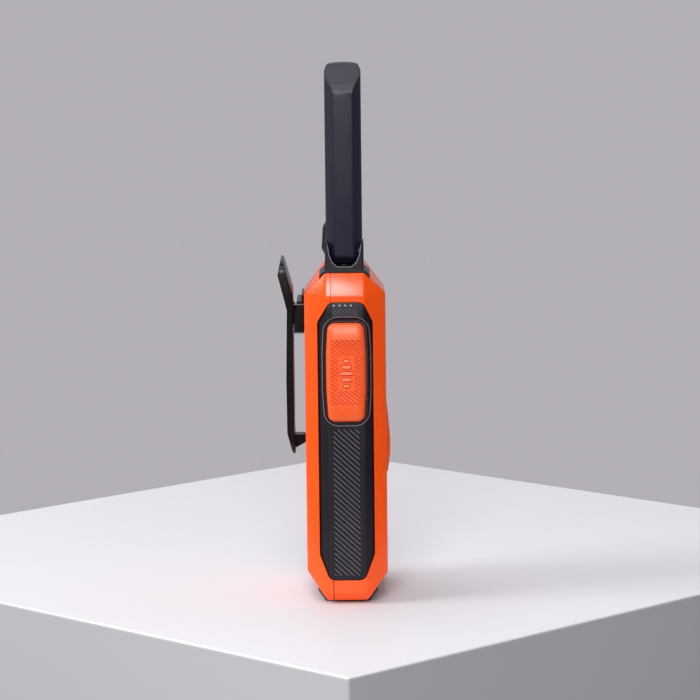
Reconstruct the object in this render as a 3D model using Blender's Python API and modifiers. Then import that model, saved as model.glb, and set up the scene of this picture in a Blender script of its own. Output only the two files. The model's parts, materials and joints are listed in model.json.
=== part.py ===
"""A handheld two way radio, built as separate pieces.

The numbers are in millimetres and MM turns them into metres. The origin is at the middle of the base, on
the surface that the radio stands on. +Z is up, the front with the keys and the speaker faces -Y, the belt
clip is at +Y, and the antenna and the push-to-talk button are on the -X side.
"""

import math

import bmesh
import bpy
from mathutils import Matrix, Vector

MM = 0.001
GAP = 0.3  # clearance between pieces that touch

# Overall body: a faceted block
HALF_WIDTH = 28.0
HALF_DEPTH = 14.5
BODY_BOTTOM = 1.2
BODY_TOP = 119.5
CORNER_X = 23.0  # where a corner facet meets the front or the rear face
CORNER_Y = 7.0  # where it meets the side
SIDE_TOP_Z = 111.3  # lower edge of the sloping facets at the top of each side
SIDE_TOP_X = 26.3
FACE_TOP_Z = 112.2  # upper edge of the front and rear faces, at the antenna side
FACE_TOP_Y = 7.1
FACE_TOP_FALL = 2.5 / 46.0  # that edge falls towards +X
FACE_FOOT_Z = {-1: 10.8, 1: 11.6}  # lower edge of the front and of the rear face
FACE_FOOT_Y = 7.2
SIDE_FOOT_Z = 4.0
SIDE_FOOT_X = 26.0
WALL = 2.0
SIDE_WALL = 3.0
PARTING_Y = 5.0

# Side grips
GRIP_HALF = 9.8
GRIP_DEPTH = 1.6
GRIP_SUNK = 0.35
GRIP_OUTLINE = [
    (-6.2, 8.9), (6.2, 8.9), (GRIP_HALF, 18.0), (GRIP_HALF, 102.0), (5.6, 109.2), (-6.4, 109.2),
    (-GRIP_HALF, 102.0), (-GRIP_HALF, 18.0),
]
RIM_WIDTH = 0.8
RIM_PROUD = 0.25

# Push-to-talk button
PTT_OUTLINE = [
    (-6.8, 66.5), (6.0, 66.5), (6.7, 78.0), (6.7, 91.0), (6.0, 102.4), (-6.8, 102.4), (-7.5, 91.0),
    (-7.5, 78.0),
]
CAP_OUTLINE = [(y, min(z, 101.4)) for y, z in PTT_OUTLINE]
PTT_Y = -0.4
PTT_Z = 83.95
PTT_TRAVEL = 1.0
POCKET_X = 26.2  # floor of the pockets in both sides

# Antenna and its base
ANTENNA_TOP = 193.8
ANTENNA_HALF = 6.5
ANTENNA_NEAR_X = -23.0
ANTENNA_FAR_X = -6.8
ANTENNA_X = (ANTENNA_NEAR_X + ANTENNA_FAR_X) / 2
ANTENNA_FLAT = 3.0  # half width of the flat between the long corner facets
ANTENNA_FACET = 3.2
ANTENNA_FOOT = 122.3
TIP_Z = 181.8  # foot of the slanted facet at the tip
BASE_HALF = 6.9
BASE_RIM_Z = 130.2
BASE_SUNK_Z = 112.0
STUD_WAY = 2.4
SKIRT_HALF = 9.0
SKIRT_PROUD = 0.9

# Volume knob
KNOB_X = 10.0
KNOB_Y = 1.4
KNOB_RADIUS = 6.9
KNOB_FOOT = 122.4
KNOB_TOP = 135.8
COLLAR_TOP = 120.6
COLLAR_RADIUS = 5.9

# Front face
PANEL_HALF = 17.0
GRILLE_Z = 27.0
KEY_TRAVEL = 0.8
KEY_BACK_Y = -11.1

# Battery bay and door
BAY_HALF = 17.2
BAY_FRONT_Y = 1.5
BAY_FOOT = 13.0
BAY_TOP = 86.5
DOOR_HALF = 18.5
DOOR_FRONT_Y = 12.7
DOOR_FOOT = 9.0
DOOR_TOP = 88.0

# Screws that hold the housings together
SCREW_X = 20.6
SCREW_ZS = (22.0, 100.0)

# Belt clip
CLIP_HALF = 13.0
PIN_Y = 16.6
PIN_Z = 103.0
PIN_RADIUS = 0.9
LUG_X = 7.75
LUG_HALF = 0.85
BRACKET_HALF = 11.0
CLIP_SCREW_X = 4.2
CLIP_SCREW_Z = 98.9
CLIP_CORNER = 5.0
CLIP_PROFILE = [
    (18.4, 52.2), (19.3, 52.2), (21.3, 60.2), (21.4, 80.0), (20.9, 104.9), (24.1, 117.6), (23.1, 122.6),
    (22.2, 122.4), (18.85, 110.6), (18.85, 60.6),
]
TOOTH_PROFILE = [
    (14.8, 55.3), (18.3, 53.4), (19.4, 53.4), (19.4, 58.2), (15.2, 58.2), (14.8, 57.8),
]
TOOTH_HALF = 3.0
PAD_Y = 18.75  # face of the pad that bears on a belt

# Main circuit board
BOARD_FRONT_Y = -4.3
BOARD_REAR_Y = -3.1
BOARD_HALF = 17.2

parts = bpy.data.collections.new("two_way_radio")
cutters = bpy.data.collections.new("cutters")


def clear_scene():
    """Removes what the new file comes with and links the two collections."""
    for old in list(bpy.data.objects):
        bpy.data.objects.remove(old, do_unlink=True)
    bpy.context.scene.collection.children.link(parts)
    bpy.context.scene.collection.children.link(cutters)


# ---------------------------------------------------------------- materials


def material(name, colour, roughness, metallic=0.0):
    """A plain Principled material."""
    made = bpy.data.materials.new(name)
    made.use_nodes = True
    shader = made.node_tree.nodes["Principled BSDF"]
    shader.inputs["Base Color"].default_value = (*colour, 1.0)
    shader.inputs["Roughness"].default_value = roughness
    shader.inputs["Metallic"].default_value = metallic
    return made


ORANGE = material("orange_plastic", (1.0, 0.13, 0.03), 0.45)
GRIP = material("grip_rubber", (0.055, 0.05, 0.06), 0.7)
DARK = material("dark_plastic", (0.04, 0.04, 0.05), 0.5)
BLACK = material("black_gloss", (0.012, 0.012, 0.014), 0.2)
RUBBER = material("black_rubber", (0.015, 0.015, 0.015), 0.8)
GLASS = material("window", (0.02, 0.025, 0.03), 0.08)
LIGHT = material("light_pipe", (0.7, 0.75, 0.7), 0.3)
STEEL = material("steel", (0.6, 0.6, 0.62), 0.3, 1.0)
BRASS = material("brass", (0.7, 0.5, 0.2), 0.3, 1.0)
BOARD = material("circuit_board", (0.02, 0.16, 0.06), 0.5)
CELL = material("battery_sleeve", (0.08, 0.1, 0.16), 0.4)
PAPER = material("speaker_cone", (0.05, 0.05, 0.05), 0.9)


# ---------------------------------------------------------------- shape helpers


def add(name, mesh, surface=None):
    """A new object: a part where it has a material, and otherwise a cutter that is never rendered."""
    made = bpy.data.objects.new(name, mesh)
    if surface:
        parts.objects.link(made)
        mesh.materials.append(surface)
    else:
        cutters.objects.link(made)
        made.hide_render = True
        made.display_type = "WIRE"
    return made


def mesh_from(bm, name):
    """Turns a bmesh into a mesh with its faces pointing out."""
    bmesh.ops.recalc_face_normals(bm, faces=bm.faces)
    mesh = bpy.data.meshes.new(name)
    bm.to_mesh(mesh)
    bm.free()
    return mesh


def box(name, x, y, z, surface=None):
    """A block between the given limits."""
    bm = bmesh.new()
    size = Vector((x[1] - x[0], y[1] - y[0], z[1] - z[0])) * MM
    bmesh.ops.create_cube(bm, size=1.0, matrix=Matrix.Diagonal((*size, 1.0)))
    made = add(name, mesh_from(bm, name), surface)
    made.location = Vector((sum(x), sum(y), sum(z))) * MM / 2
    return made


def axis_frame(axis):
    """The rotation that takes an outline's own plane to the world: along X it is given as (y, z), along Y
    as (x, z), and along Z as (x, y)."""
    if axis == "X":
        return Matrix(((0, 0, 1), (1, 0, 0), (0, 1, 0))).to_4x4()
    if axis == "Y":
        return Matrix(((1, 0, 0), (0, 0, -1), (0, 1, 0))).to_4x4()
    return Matrix.Identity(4)


def rod(name, axis, centre, radius, span, surface=None, sides=16, far_radius=None):
    """A round bar along an axis; centre is its place across that axis."""
    bm = bmesh.new()
    if axis == "Y":
        span = (-span[1], -span[0])
    bmesh.ops.create_cone(
        bm, cap_ends=True, segments=sides, radius1=radius * MM,
        radius2=(far_radius or radius) * MM, depth=(span[1] - span[0]) * MM,
    )
    made = add(name, mesh_from(bm, name), surface)
    here = Vector((centre[0], centre[1], sum(span) / 2)) * MM
    made.matrix_world = axis_frame(axis) @ Matrix.Translation(here)
    if surface:
        made.data.shade_smooth()
        made.data.set_sharp_from_angle(angle=math.radians(35))
    return made


def rounded(outline, radius, steps=3):
    """Rounds the corners of a closed outline."""
    made = []
    for i, corner in enumerate(outline):
        here = Vector(corner)
        back = (Vector(outline[i - 1]) - here).normalized()
        ahead = (Vector(outline[(i + 1) % len(outline)]) - here).normalized()
        half = back.angle(ahead) / 2
        reach = radius / math.tan(half)
        centre = here + (back + ahead).normalized() * radius / math.sin(half)
        start = here + back * reach - centre
        sweep = start.angle_signed(here + ahead * reach - centre)
        for step in range(steps + 1):
            turned_by = Matrix.Rotation(-sweep * step / steps, 2)
            made.append(tuple(centre + turned_by @ start))
    return made


def grown(outline, by):
    """Moves every edge of a closed, convex, anticlockwise outline outwards."""
    made = []
    for i, corner in enumerate(outline):
        here = Vector(corner)
        back = (here - Vector(outline[i - 1])).normalized()
        ahead = (Vector(outline[(i + 1) % len(outline)]) - here).normalized()
        out = Vector((back.y + ahead.y, -back.x - ahead.x)).normalized()
        made.append(tuple(here + out * by / max(0.2, out.dot(Vector((ahead.y, -ahead.x))))))
    return made


def plate(name, axis, outline, span, surface=None):
    """A flat outline with a thickness: a filled 2D curve, made a mesh."""
    curve = bpy.data.curves.new(name, "CURVE")
    curve.dimensions = "2D"
    curve.fill_mode = "BOTH"
    curve.extrude = (span[1] - span[0]) / 2 * MM
    spline = curve.splines.new("POLY")
    spline.points.add(len(outline) - 1)
    for point, (u, v) in zip(spline.points, outline):
        point.co = (u * MM, v * MM, 0.0, 1.0)
    spline.use_cyclic_u = True
    drawn = bpy.data.objects.new(name + "_curve", curve)
    middle = -sum(span) / 2 if axis == "Y" else sum(span) / 2
    drawn.matrix_world = axis_frame(axis) @ Matrix.Translation((0, 0, middle * MM))
    bpy.context.scene.collection.objects.link(drawn)
    return as_mesh(drawn, name, surface)


def as_mesh(drawn, name, surface=None):
    """Replaces a curve object by a mesh object in the same place, with its caps welded on."""
    bpy.context.view_layer.update()
    seen = drawn.evaluated_get(bpy.context.evaluated_depsgraph_get())
    mesh = bpy.data.meshes.new_from_object(seen)
    mesh.name = name
    bm = bmesh.new()
    bm.from_mesh(mesh)
    bmesh.ops.remove_doubles(bm, verts=bm.verts, dist=1e-6)
    bmesh.ops.recalc_face_normals(bm, faces=bm.faces)
    bmesh.ops.dissolve_limit(bm, angle_limit=0.001, verts=bm.verts, edges=bm.edges)
    bm.to_mesh(mesh)
    bm.free()
    mesh.materials.clear()
    made = add(name, mesh, surface)
    made.matrix_world = drawn.matrix_world.copy()
    bpy.data.objects.remove(drawn, do_unlink=True)
    return made


def turned(name, axis, centre, profile, surface=None, sides=24):
    """A turned shape. The profile's points are (radius, height); its outer side runs from top to bottom.
    A profile that starts and ends on the axis is left open there, and any other is a closed ring."""
    mesh = bpy.data.meshes.new(name)
    count = len(profile)
    closed = min(profile[0][0], profile[-1][0]) > 0
    edges = [(i, (i + 1) % count) for i in range(count if closed else count - 1)]
    mesh.from_pydata([(r * MM, 0.0, h * MM) for r, h in profile], edges, [])
    made = add(name, mesh, surface)
    spin = made.modifiers.new("Screw", "SCREW")
    spin.steps = sides
    spin.render_steps = sides
    spin.use_merge_vertices = True
    spin.merge_threshold = 0.00001
    made.matrix_world = axis_frame(axis) @ Matrix.Translation((centre[0] * MM, centre[1] * MM, 0.0))
    return made


def faceted(name, planes, surface=None):
    """A block cut down to the inside of a list of planes, each a normal and its distance from the origin."""
    bm = bmesh.new()
    bmesh.ops.create_cube(bm, size=1.0)
    for normal, distance in planes:
        out = Vector(normal).normalized()
        bmesh.ops.bisect_plane(
            bm, geom=bm.verts[:] + bm.edges[:] + bm.faces[:], dist=1e-7, plane_co=out * distance * MM,
            plane_no=out, clear_outer=True,
        )
        bmesh.ops.holes_fill(bm, edges=[e for e in bm.edges if e.is_boundary])
    return add(name, mesh_from(bm, name), surface)


def plane_through(a, b, outward):
    """The plane that holds a and b and runs on along the axis where outward is 0."""
    along = Vector([1.0 if abs(part) < 1e-9 else 0.0 for part in outward])
    out = (Vector(b) - Vector(a)).cross(along).normalized()
    if out.dot(Vector(outward)) < 0:
        out.negate()
    return out, out.dot(Vector(a))


def boolean(target, other, operation):
    """Adds a Boolean step to a part."""
    step = target.modifiers.new(other.name, "BOOLEAN")
    step.operation = operation
    step.object = other
    step.solver = "EXACT"
    return target


def cut(target, *others):
    for other in others:
        boolean(target, other, "DIFFERENCE")


def join(target, *others):
    for other in others:
        boolean(target, other, "UNION")


def keep(target, *others):
    for other in others:
        boolean(target, other, "INTERSECT")


def pivot(name, place, *children):
    """An empty on a joint's axis that carries the pieces which move together."""
    joint = bpy.data.objects.new(name, None)
    joint.location = Vector(place) * MM
    parts.objects.link(joint)
    bpy.context.view_layer.update()
    for child in children:
        child.parent = joint
        child.matrix_parent_inverse = joint.matrix_world.inverted()


# ---------------------------------------------------------------- the body's facets


def body_planes(inset, side=None):
    """The planes of the body, moved in by inset, or by side for the sides and the corner facets."""
    side = inset if side is None else side
    planes = [((0, 0, 1), BODY_TOP - inset), ((0, 0, -1), -BODY_BOTTOM - inset)]
    for x in (-1, 1):
        planes.append(((x, 0, 0), HALF_WIDTH - side))
        top = plane_through((x * HALF_WIDTH, 0, SIDE_TOP_Z), (x * SIDE_TOP_X, 0, BODY_TOP), (x, 0, 1))
        foot = plane_through((x * HALF_WIDTH, 0, SIDE_FOOT_Z), (x * SIDE_FOOT_X, 0, BODY_BOTTOM), (x, 0, -1))
        planes += [(top[0], top[1] - inset), (foot[0], foot[1] - inset)]
        for y in (-1, 1):
            corner = plane_through(
                (x * HALF_WIDTH, y * CORNER_Y, 0), (x * CORNER_X, y * HALF_DEPTH, 0), (x, y, 0)
            )
            planes.append((corner[0], corner[1] - side))
    for y in (-1, 1):
        planes.append(((0, y, 0), HALF_DEPTH - inset))
        foot = plane_through(
            (0, y * HALF_DEPTH, FACE_FOOT_Z[y]), (0, y * FACE_FOOT_Y, BODY_BOTTOM), (0, y, -1)
        )
        planes.append((foot[0], foot[1] - inset))
        near, far = face_top(-1, y), face_top(1, y)
        ridge = Vector((SIDE_TOP_X, y * FACE_TOP_Y, BODY_TOP))
        planes.append(plane_of(near, ridge, ridge - Vector((1, 0, 0)), inset))
        planes.append(plane_of(near, far, ridge, inset))
        for x in (-1, 1):
            low = Vector((x * HALF_WIDTH, y * CORNER_Y, SIDE_TOP_Z))
            high = Vector((x * SIDE_TOP_X, y * CORNER_Y, BODY_TOP))
            planes.append(plane_of(low, face_top(x, y), high, inset))
    return planes


def face_top(x, y):
    """The upper corner of the front or the rear face at one side."""
    return Vector((x * CORNER_X, y * HALF_DEPTH, FACE_TOP_Z - FACE_TOP_FALL * (x + 1) * CORNER_X))


def plane_of(a, b, c, inset):
    """The plane through three points, facing up and moved in by inset."""
    out = (b - a).cross(c - a).normalized()
    if out.z < 0:
        out.negate()
    return out, out.dot(a) - inset


def body_block(name, inset, side=None, surface=None):
    return faceted(name, body_planes(inset, side), surface)


# ---------------------------------------------------------------- housings


def side_span(x):
    """The span of a cutter that reaches from inside the body to outside one of its sides."""
    return (-34.0, -16.0) if x < 0 else (16.0, 34.0)


def make_shell(name, half):
    """One half of the orange housing: the faceted shell, its grip rims and its side recesses. The cutters
    are the same on both halves, because the parting line runs through the pockets."""
    shell = body_block(name, 0.0, surface=ORANGE)
    for x, tag in ((-1, "left"), (1, "right")):
        rim = body_block(f"{name}_{tag}_rim", -RIM_PROUD)
        keep(rim, plate(f"{name}_{tag}_rim_edge", "X", grown(GRIP_OUTLINE, GAP + RIM_WIDTH), side_span(x)))
        join(shell, rim)
    if half == "front":
        join(shell, make_control_plateau())
    cut(shell, body_block(name + "_hollow", WALL, SIDE_WALL))
    for x, tag in ((-1, "left"), (1, "right")):
        recess = plate(f"{name}_{tag}_recess", "X", grown(GRIP_OUTLINE, GAP), side_span(x))
        cut(recess, body_block(f"{name}_{tag}_recess_floor", GRIP_DEPTH))
        cut(shell, recess)
    cut(shell, plate(name + "_ptt_pocket", "X", rounded(grown(PTT_OUTLINE, 0.6), 2.6), (-40.0, -POCKET_X)))
    cut(shell, box(name + "_ptt_way", (-40.0, -20.0), (-6.2, 5.4), (69.0, 100.0)))
    cut(shell, box(name + "_port_pocket", (POCKET_X, 40.0), (-6.1, 6.1), (71.7, 98.3)))
    cut(shell, box(name + "_usb_way", (20.0, 40.0), (-3.1, 1.1), (85.5, 95.5)))
    cut(shell, rod(name + "_jack_way", "X", (-0.4, 79.0), 2.6, (20.0, 40.0)))
    cut(shell, base_block(name + "_antenna_way", GAP, 100.0))
    cut(shell, rod(name + "_knob_way", "Z", (KNOB_X, KNOB_Y), COLLAR_RADIUS + GAP, (100.0, 130.0), sides=24))
    return shell


def half_block(name, front):
    """A block that covers all of one side of the parting plane."""
    y = (-40.0, PARTING_Y - GAP / 2) if front else (PARTING_Y + GAP / 2, 40.0)
    return box(name, (-60.0, 60.0), y, (-20.0, 220.0))


def make_control_plateau():
    """The raised block of the front face that carries the keys, thickest below its middle."""
    outline = [
        (-13.0, 45.0), (0.0, 45.0), (0.0, 70.8), (-14.75, 70.8), (-15.85, 58.7), (-15.85, 53.5), (-15.0, 45.8),
    ]
    block = plate("control_plateau", "X", outline[::-1], (-19.0, 19.0))
    cheeks = [
        (-11.0, 44.0), (11.0, 44.0), (PANEL_HALF, 52.0), (PANEL_HALF, 63.5), (11.0, 72.0), (-11.0, 72.0),
        (-PANEL_HALF, 63.5), (-PANEL_HALF, 52.0),
    ]
    keep(block, plate("plateau_cheeks", "Y", cheeks, (-20.0, 4.0)))
    cut(block, box("plateau_back", (-40.0, 40.0), (-13.0, 40.0), (0.0, 120.0)))
    return block


KEYS = {
    "key_menu": ((-10.0, 57.5), [(-3.2, -4.2), (2.6, -3.2), (2.6, 3.2), (-3.2, 4.2)]),
    "key_call": ((10.0, 57.5), [(-2.6, -3.2), (3.2, -4.2), (3.2, 4.2), (-2.6, 3.2)]),
    "key_up": ((0.0, 65.8), [(-3.2, -2.0), (3.2, -2.0), (4.4, 2.2), (-4.4, 2.2)]),
    "key_down": ((0.0, 49.4), [(-4.4, -2.2), (4.4, -2.2), (3.2, 2.0), (-3.2, 2.0)]),
    "key_power": ((0.0, 57.5), [(-3.4, -3.4), (3.4, -3.4), (3.4, 3.4), (-3.4, 3.4)]),
}


def key_outline(name):
    (x, z), outline = KEYS[name]
    return [(x + u, z + v) for u, v in outline]


def make_front_housing():
    """The deeper half, with the display window, the keys and the speaker in its face."""
    shell = make_shell("front_housing", "front")
    keep(shell, half_block("front_half", True))
    for x in (-SCREW_X, SCREW_X):
        for z in SCREW_ZS:
            boss = rod(f"front_boss_{x:.0f}_{z:.0f}", "Y", (x, z), 1.95, (-13.0, PARTING_Y - GAP / 2))
            join(shell, boss)
    for x in (-SCREW_X, SCREW_X):
        for z in SCREW_ZS:
            cut(shell, rod(f"front_pilot_{x:.0f}_{z:.0f}", "Y", (x, z), 1.2, (-3.0, 20.0)))
    cut(shell, plate("window_seat", "Y", window_outline(GAP), (-20.0, -13.2)))
    cut(shell, box("window_way", (-14.6, 14.6), (-20.0, -5.0), (78.0, 98.5)))
    cut(shell, plate("grille_seat", "Y", grille_outline(GAP), (-20.0, -13.4)))
    cut(shell, rod("grille_way", "Y", (0.0, GRILLE_Z), 11.8, (-20.0, -5.0), sides=24))
    for name in KEYS:
        cut(shell, plate(name + "_way", "Y", grown(key_outline(name), GAP), (-20.0, -5.0)))
    cut(shell, rod("microphone_way", "Y", (13.0, 42.0), 0.7, (-20.0, -5.0), sides=12))
    cut(shell, rod("light_way", "Y", (0.0, 104.5), 1.5, (-20.0, -5.0), sides=12))
    return shell


def make_rear_housing():
    """The shallower half, with the battery bay, the clip's screw holes and the latch's pocket."""
    shell = make_shell("rear_housing", "rear")
    keep(shell, half_block("rear_half", False))
    for x in (-SCREW_X, SCREW_X):
        for z in SCREW_ZS:
            join(shell, rod(f"rear_boss_{x:.0f}_{z:.0f}", "Y", (x, z), 1.95, (PARTING_Y + GAP / 2, 13.4)))
    wall = 1.2
    tub_x = (-BAY_HALF - wall, BAY_HALF + wall)
    join(shell, box("bay_walls", tub_x, (BAY_FRONT_Y - wall, 13.0), (BAY_FOOT - wall, BAY_TOP + wall)))
    join(shell, box("bay_rim", (-19.8, 19.8), (11.2, 13.0), (10.5, DOOR_TOP + 2.0)))
    cut(shell, box("bay", (-BAY_HALF, BAY_HALF), (BAY_FRONT_Y, 40.0), (BAY_FOOT, BAY_TOP)))
    cut(shell, box("door_way", (-DOOR_HALF - GAP, DOOR_HALF + GAP), (DOOR_FRONT_Y - GAP, 40.0),
                   (0.0, DOOR_TOP + GAP)))
    cut(shell, box("latch_pocket", (-5.6, 5.6), (13.2, 40.0), (90.2, 95.9)))
    for x in (-SCREW_X, SCREW_X):
        for z in SCREW_ZS:
            cut(shell, rod(f"screw_head_way_{x:.0f}_{z:.0f}", "Y", (x, z), 1.65, (12.9, 30.0)))
            cut(shell, rod(f"screw_way_{x:.0f}_{z:.0f}", "Y", (x, z), 1.2, (-3.0, 20.0)))
    for x in (-CLIP_SCREW_X, CLIP_SCREW_X):
        cut(shell, rod(f"clip_screw_way_{x:.0f}", "Y", (x, CLIP_SCREW_Z), 1.2, (9.0, 30.0)))
    return shell


# ---------------------------------------------------------------- grips, foot


def make_grip(name, side, front):
    """A rubber inlay in one half of a side: it follows the side and both corner facets."""
    grip = plate(name, "X", GRIP_OUTLINE, side_span(side), GRIP)
    keep(grip, body_block(name + "_outside", GRIP_SUNK))
    cut(grip, body_block(name + "_inside", GRIP_DEPTH - GAP))
    keep(grip, half_block(name + "_half", front))
    if side < 0:
        cut(grip, plate(name + "_way", "X", rounded(grown(PTT_OUTLINE, 0.6), 2.6), (-40.0, -20.0)))
    else:
        cut(grip, box(name + "_way", (20.0, 40.0), (-6.1, 6.1), (71.7, 98.3)))
    return grip


def make_bumper():
    """The rubber strip under the body that it stands on: it folds up the two lower facets."""
    strip = body_block("bottom_bumper", -BODY_BOTTOM, surface=RUBBER)
    keep(strip, box("bumper_length", (-21.0, 21.0), (-12.0, 11.4), (-2.0, 5.2)))
    cut(strip, body_block("bumper_inside", -GAP))


# ---------------------------------------------------------------- push-to-talk


def loft(name, sections, surface):
    """A solid between outlines that have the same number of points, each given as (x, outline of (y, z))."""
    bm = bmesh.new()
    rings = []
    for x, outline in sections:
        rings.append([bm.verts.new((x * MM, y * MM, z * MM)) for y, z in outline])
    for lower, upper in zip(rings, rings[1:]):
        for i in range(len(lower)):
            j = (i + 1) % len(lower)
            bm.faces.new((lower[i], lower[j], upper[j], upper[i]))
    bm.faces.new(rings[0][::-1])
    bm.faces.new(rings[-1])
    return add(name, mesh_from(bm, name), surface)


def narrowed(outline, by_y, by_z):
    """Draws an outline in towards the middle of the button by two amounts."""
    half_y = max(y - PTT_Y for y, z in outline)
    half_z = max(z - PTT_Z for y, z in outline)
    shrink_y = 1.0 - by_y / half_y
    shrink_z = 1.0 - by_z / half_z
    return [(PTT_Y + (y - PTT_Y) * shrink_y, PTT_Z + (z - PTT_Z) * shrink_z) for y, z in outline]


def make_ptt():
    """The push-to-talk button: a domed cap, a plunger through the wall and a flange behind it."""
    edge = rounded(CAP_OUTLINE, 2.3)
    button = loft("ptt_button", [
        (-27.5, edge), (-28.7, edge), (-29.6, narrowed(edge, 0.7, 1.6)), (-30.1, narrowed(edge, 2.0, 4.6)),
        (-30.35, narrowed(edge, 3.8, 8.4)),
    ], ORANGE)
    join(button, box("ptt_plunger", (-28.0, -23.8), (-5.8, 5.0), (69.4, 99.6)))
    join(button, box("ptt_flange", (-24.2, -23.3), (-6.8, 6.0), (68.2, 97.6)))
    pivot("ptt_slide", (-27.5, PTT_Y, PTT_Z), button)
    box("ptt_switch", (-22.0, -16.6), (-2.8, 0.0), (82.0, 87.0), STEEL)


# ---------------------------------------------------------------- antenna


def antenna_planes(grow=0.0):
    """The long facets of the antenna, moved out by grow."""
    planes = []
    half_x = (ANTENNA_FAR_X - ANTENNA_NEAR_X) / 2
    for x in (-1, 1):
        planes.append(((x, 0, 0), x * ANTENNA_X + half_x + grow))
        for y in (-1, 1):
            corner = plane_through(
                (ANTENNA_X + x * half_x, y * ANTENNA_FLAT, 0),
                (ANTENNA_X + x * (half_x - ANTENNA_FACET), y * ANTENNA_HALF, 0), (x, y, 0),
            )
            planes.append((corner[0], corner[1] + grow))
    for y in (-1, 1):
        planes.append(((0, y, 0), ANTENNA_HALF + grow))
        low = plane_through((0, y * ANTENNA_HALF, 131.6), (0, y * 3.6, ANTENNA_FOOT), (0, y, -1))
        planes.append((low[0], low[1] + grow))
    for x, edge in ((-1, ANTENNA_NEAR_X), (1, ANTENNA_FAR_X)):
        low = plane_through((edge, 0, 125.2), (edge - x * 3.0, 0, ANTENNA_FOOT), (x, 0, -1))
        planes.append((low[0], low[1] + grow))
    planes.append(((0, 0, -1), -ANTENNA_FOOT + grow))
    planes.append(((0, 0, 1), ANTENNA_TOP + grow))
    return planes


def make_antenna():
    """The antenna: a faceted cover with a slanted facet at its tip, a coil and the stud that it screws on."""
    planes = antenna_planes()
    planes.append(plane_through((ANTENNA_NEAR_X, 0, TIP_Z), (ANTENNA_NEAR_X + 4.6, 0, ANTENNA_TOP), (-1, 0, 1)))
    planes.append(plane_through((ANTENNA_FAR_X, 0, 191.0), (ANTENNA_FAR_X - 2.0, 0, ANTENNA_TOP), (1, 0, 1)))
    crown = [(0.0, 0.0), (2.4, 0.15), (4.6, 0.7), (5.8, 1.5), (ANTENNA_HALF, 3.2)]
    for y in (-1, 1):
        for (reach, drop), (next_reach, next_drop) in zip(crown, crown[1:]):
            planes.append(plane_through(
                (0, y * reach, ANTENNA_TOP - drop), (0, y * next_reach, ANTENNA_TOP - next_drop), (0, y, 1)
            ))
    cover = faceted("antenna_cover", planes, DARK)
    centre = (ANTENNA_X, 0.0)
    cut(cover, rod("stud_way", "Z", centre, STUD_WAY, (110.0, 130.0)))
    cut(cover, rod("coil_way", "Z", centre, 3.9, (129.0, 184.0)))
    rod("antenna_stud", "Z", centre, 2.0, (108.5, 128.2), BRASS)
    make_helix("antenna_coil", centre, 3.1, 0.4, (131.0, 181.0), 9)


def make_helix(name, centre, radius, wire, span, turns, around="Z", surface=None, steps=10):
    """A wound wire as a POLY curve, with its ends filled."""
    curve = bpy.data.curves.new(name, "CURVE")
    curve.dimensions = "3D"
    curve.bevel_depth = wire * MM
    curve.bevel_resolution = 2
    curve.use_fill_caps = True
    spline = curve.splines.new("POLY")
    count = turns * steps
    spline.points.add(count)
    for i, point in enumerate(spline.points):
        angle = 2 * math.pi * i / steps
        height = span[0] + (span[1] - span[0]) * i / count
        point.co = (radius * math.cos(angle) * MM, radius * math.sin(angle) * MM, height * MM, 1.0)
    drawn = bpy.data.objects.new(name + "_curve", curve)
    drawn.matrix_world = axis_frame(around) @ Matrix.Translation((centre[0] * MM, centre[1] * MM, 0.0))
    bpy.context.scene.collection.objects.link(drawn)
    return as_mesh(drawn, name, surface or BRASS)


def base_block(name, grow, bottom, surface=None):
    """The outer shape of the antenna's base: a block with its corners cut off."""
    near, far = ANTENNA_NEAR_X - 1.2, ANTENNA_FAR_X + 1.0
    outline = [
        (near + 0.8, -BASE_HALF), (far - 3.2, -BASE_HALF), (far, -3.6), (far, 3.6), (far - 3.2, BASE_HALF),
        (near + 0.8, BASE_HALF), (near, BASE_HALF - 0.5), (near, 0.5 - BASE_HALF),
    ]
    return plate(name, "Z", grown(outline, grow), (bottom, BASE_RIM_Z), surface)


def make_antenna_base():
    """The cradle that the antenna sits in: it is open in a U on its near and far sides, and a skirt at its
    foot lies on the sloping facets of the body."""
    base = base_block("antenna_base", 0.0, BASE_SUNK_Z, DARK)
    skirt = body_block("base_skirt", -SKIRT_PROUD)
    under = (-25.6, ANTENNA_FAR_X + 1.6)
    keep(skirt, box("base_skirt_limits", under, (-SKIRT_HALF, SKIRT_HALF), (115.0, 125.0)))
    cut(skirt, body_block("base_skirt_inside", -GAP))
    join(base, skirt)
    cut(base, faceted("cradle", antenna_planes(0.4)))
    smile = [
        (-2.6, 121.7), (2.6, 121.7), (4.3, 123.4), (5.3, 126.0), (6.1, 133.0), (-6.1, 133.0), (-5.3, 126.0),
        (-4.3, 123.4),
    ]
    cut(base, plate("base_smile", "X", smile, (-40.0, 20.0)))
    cut(base, rod("base_stud_way", "Z", (ANTENNA_X, 0.0), STUD_WAY, (90.0, 140.0)))


# ---------------------------------------------------------------- knob


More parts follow.
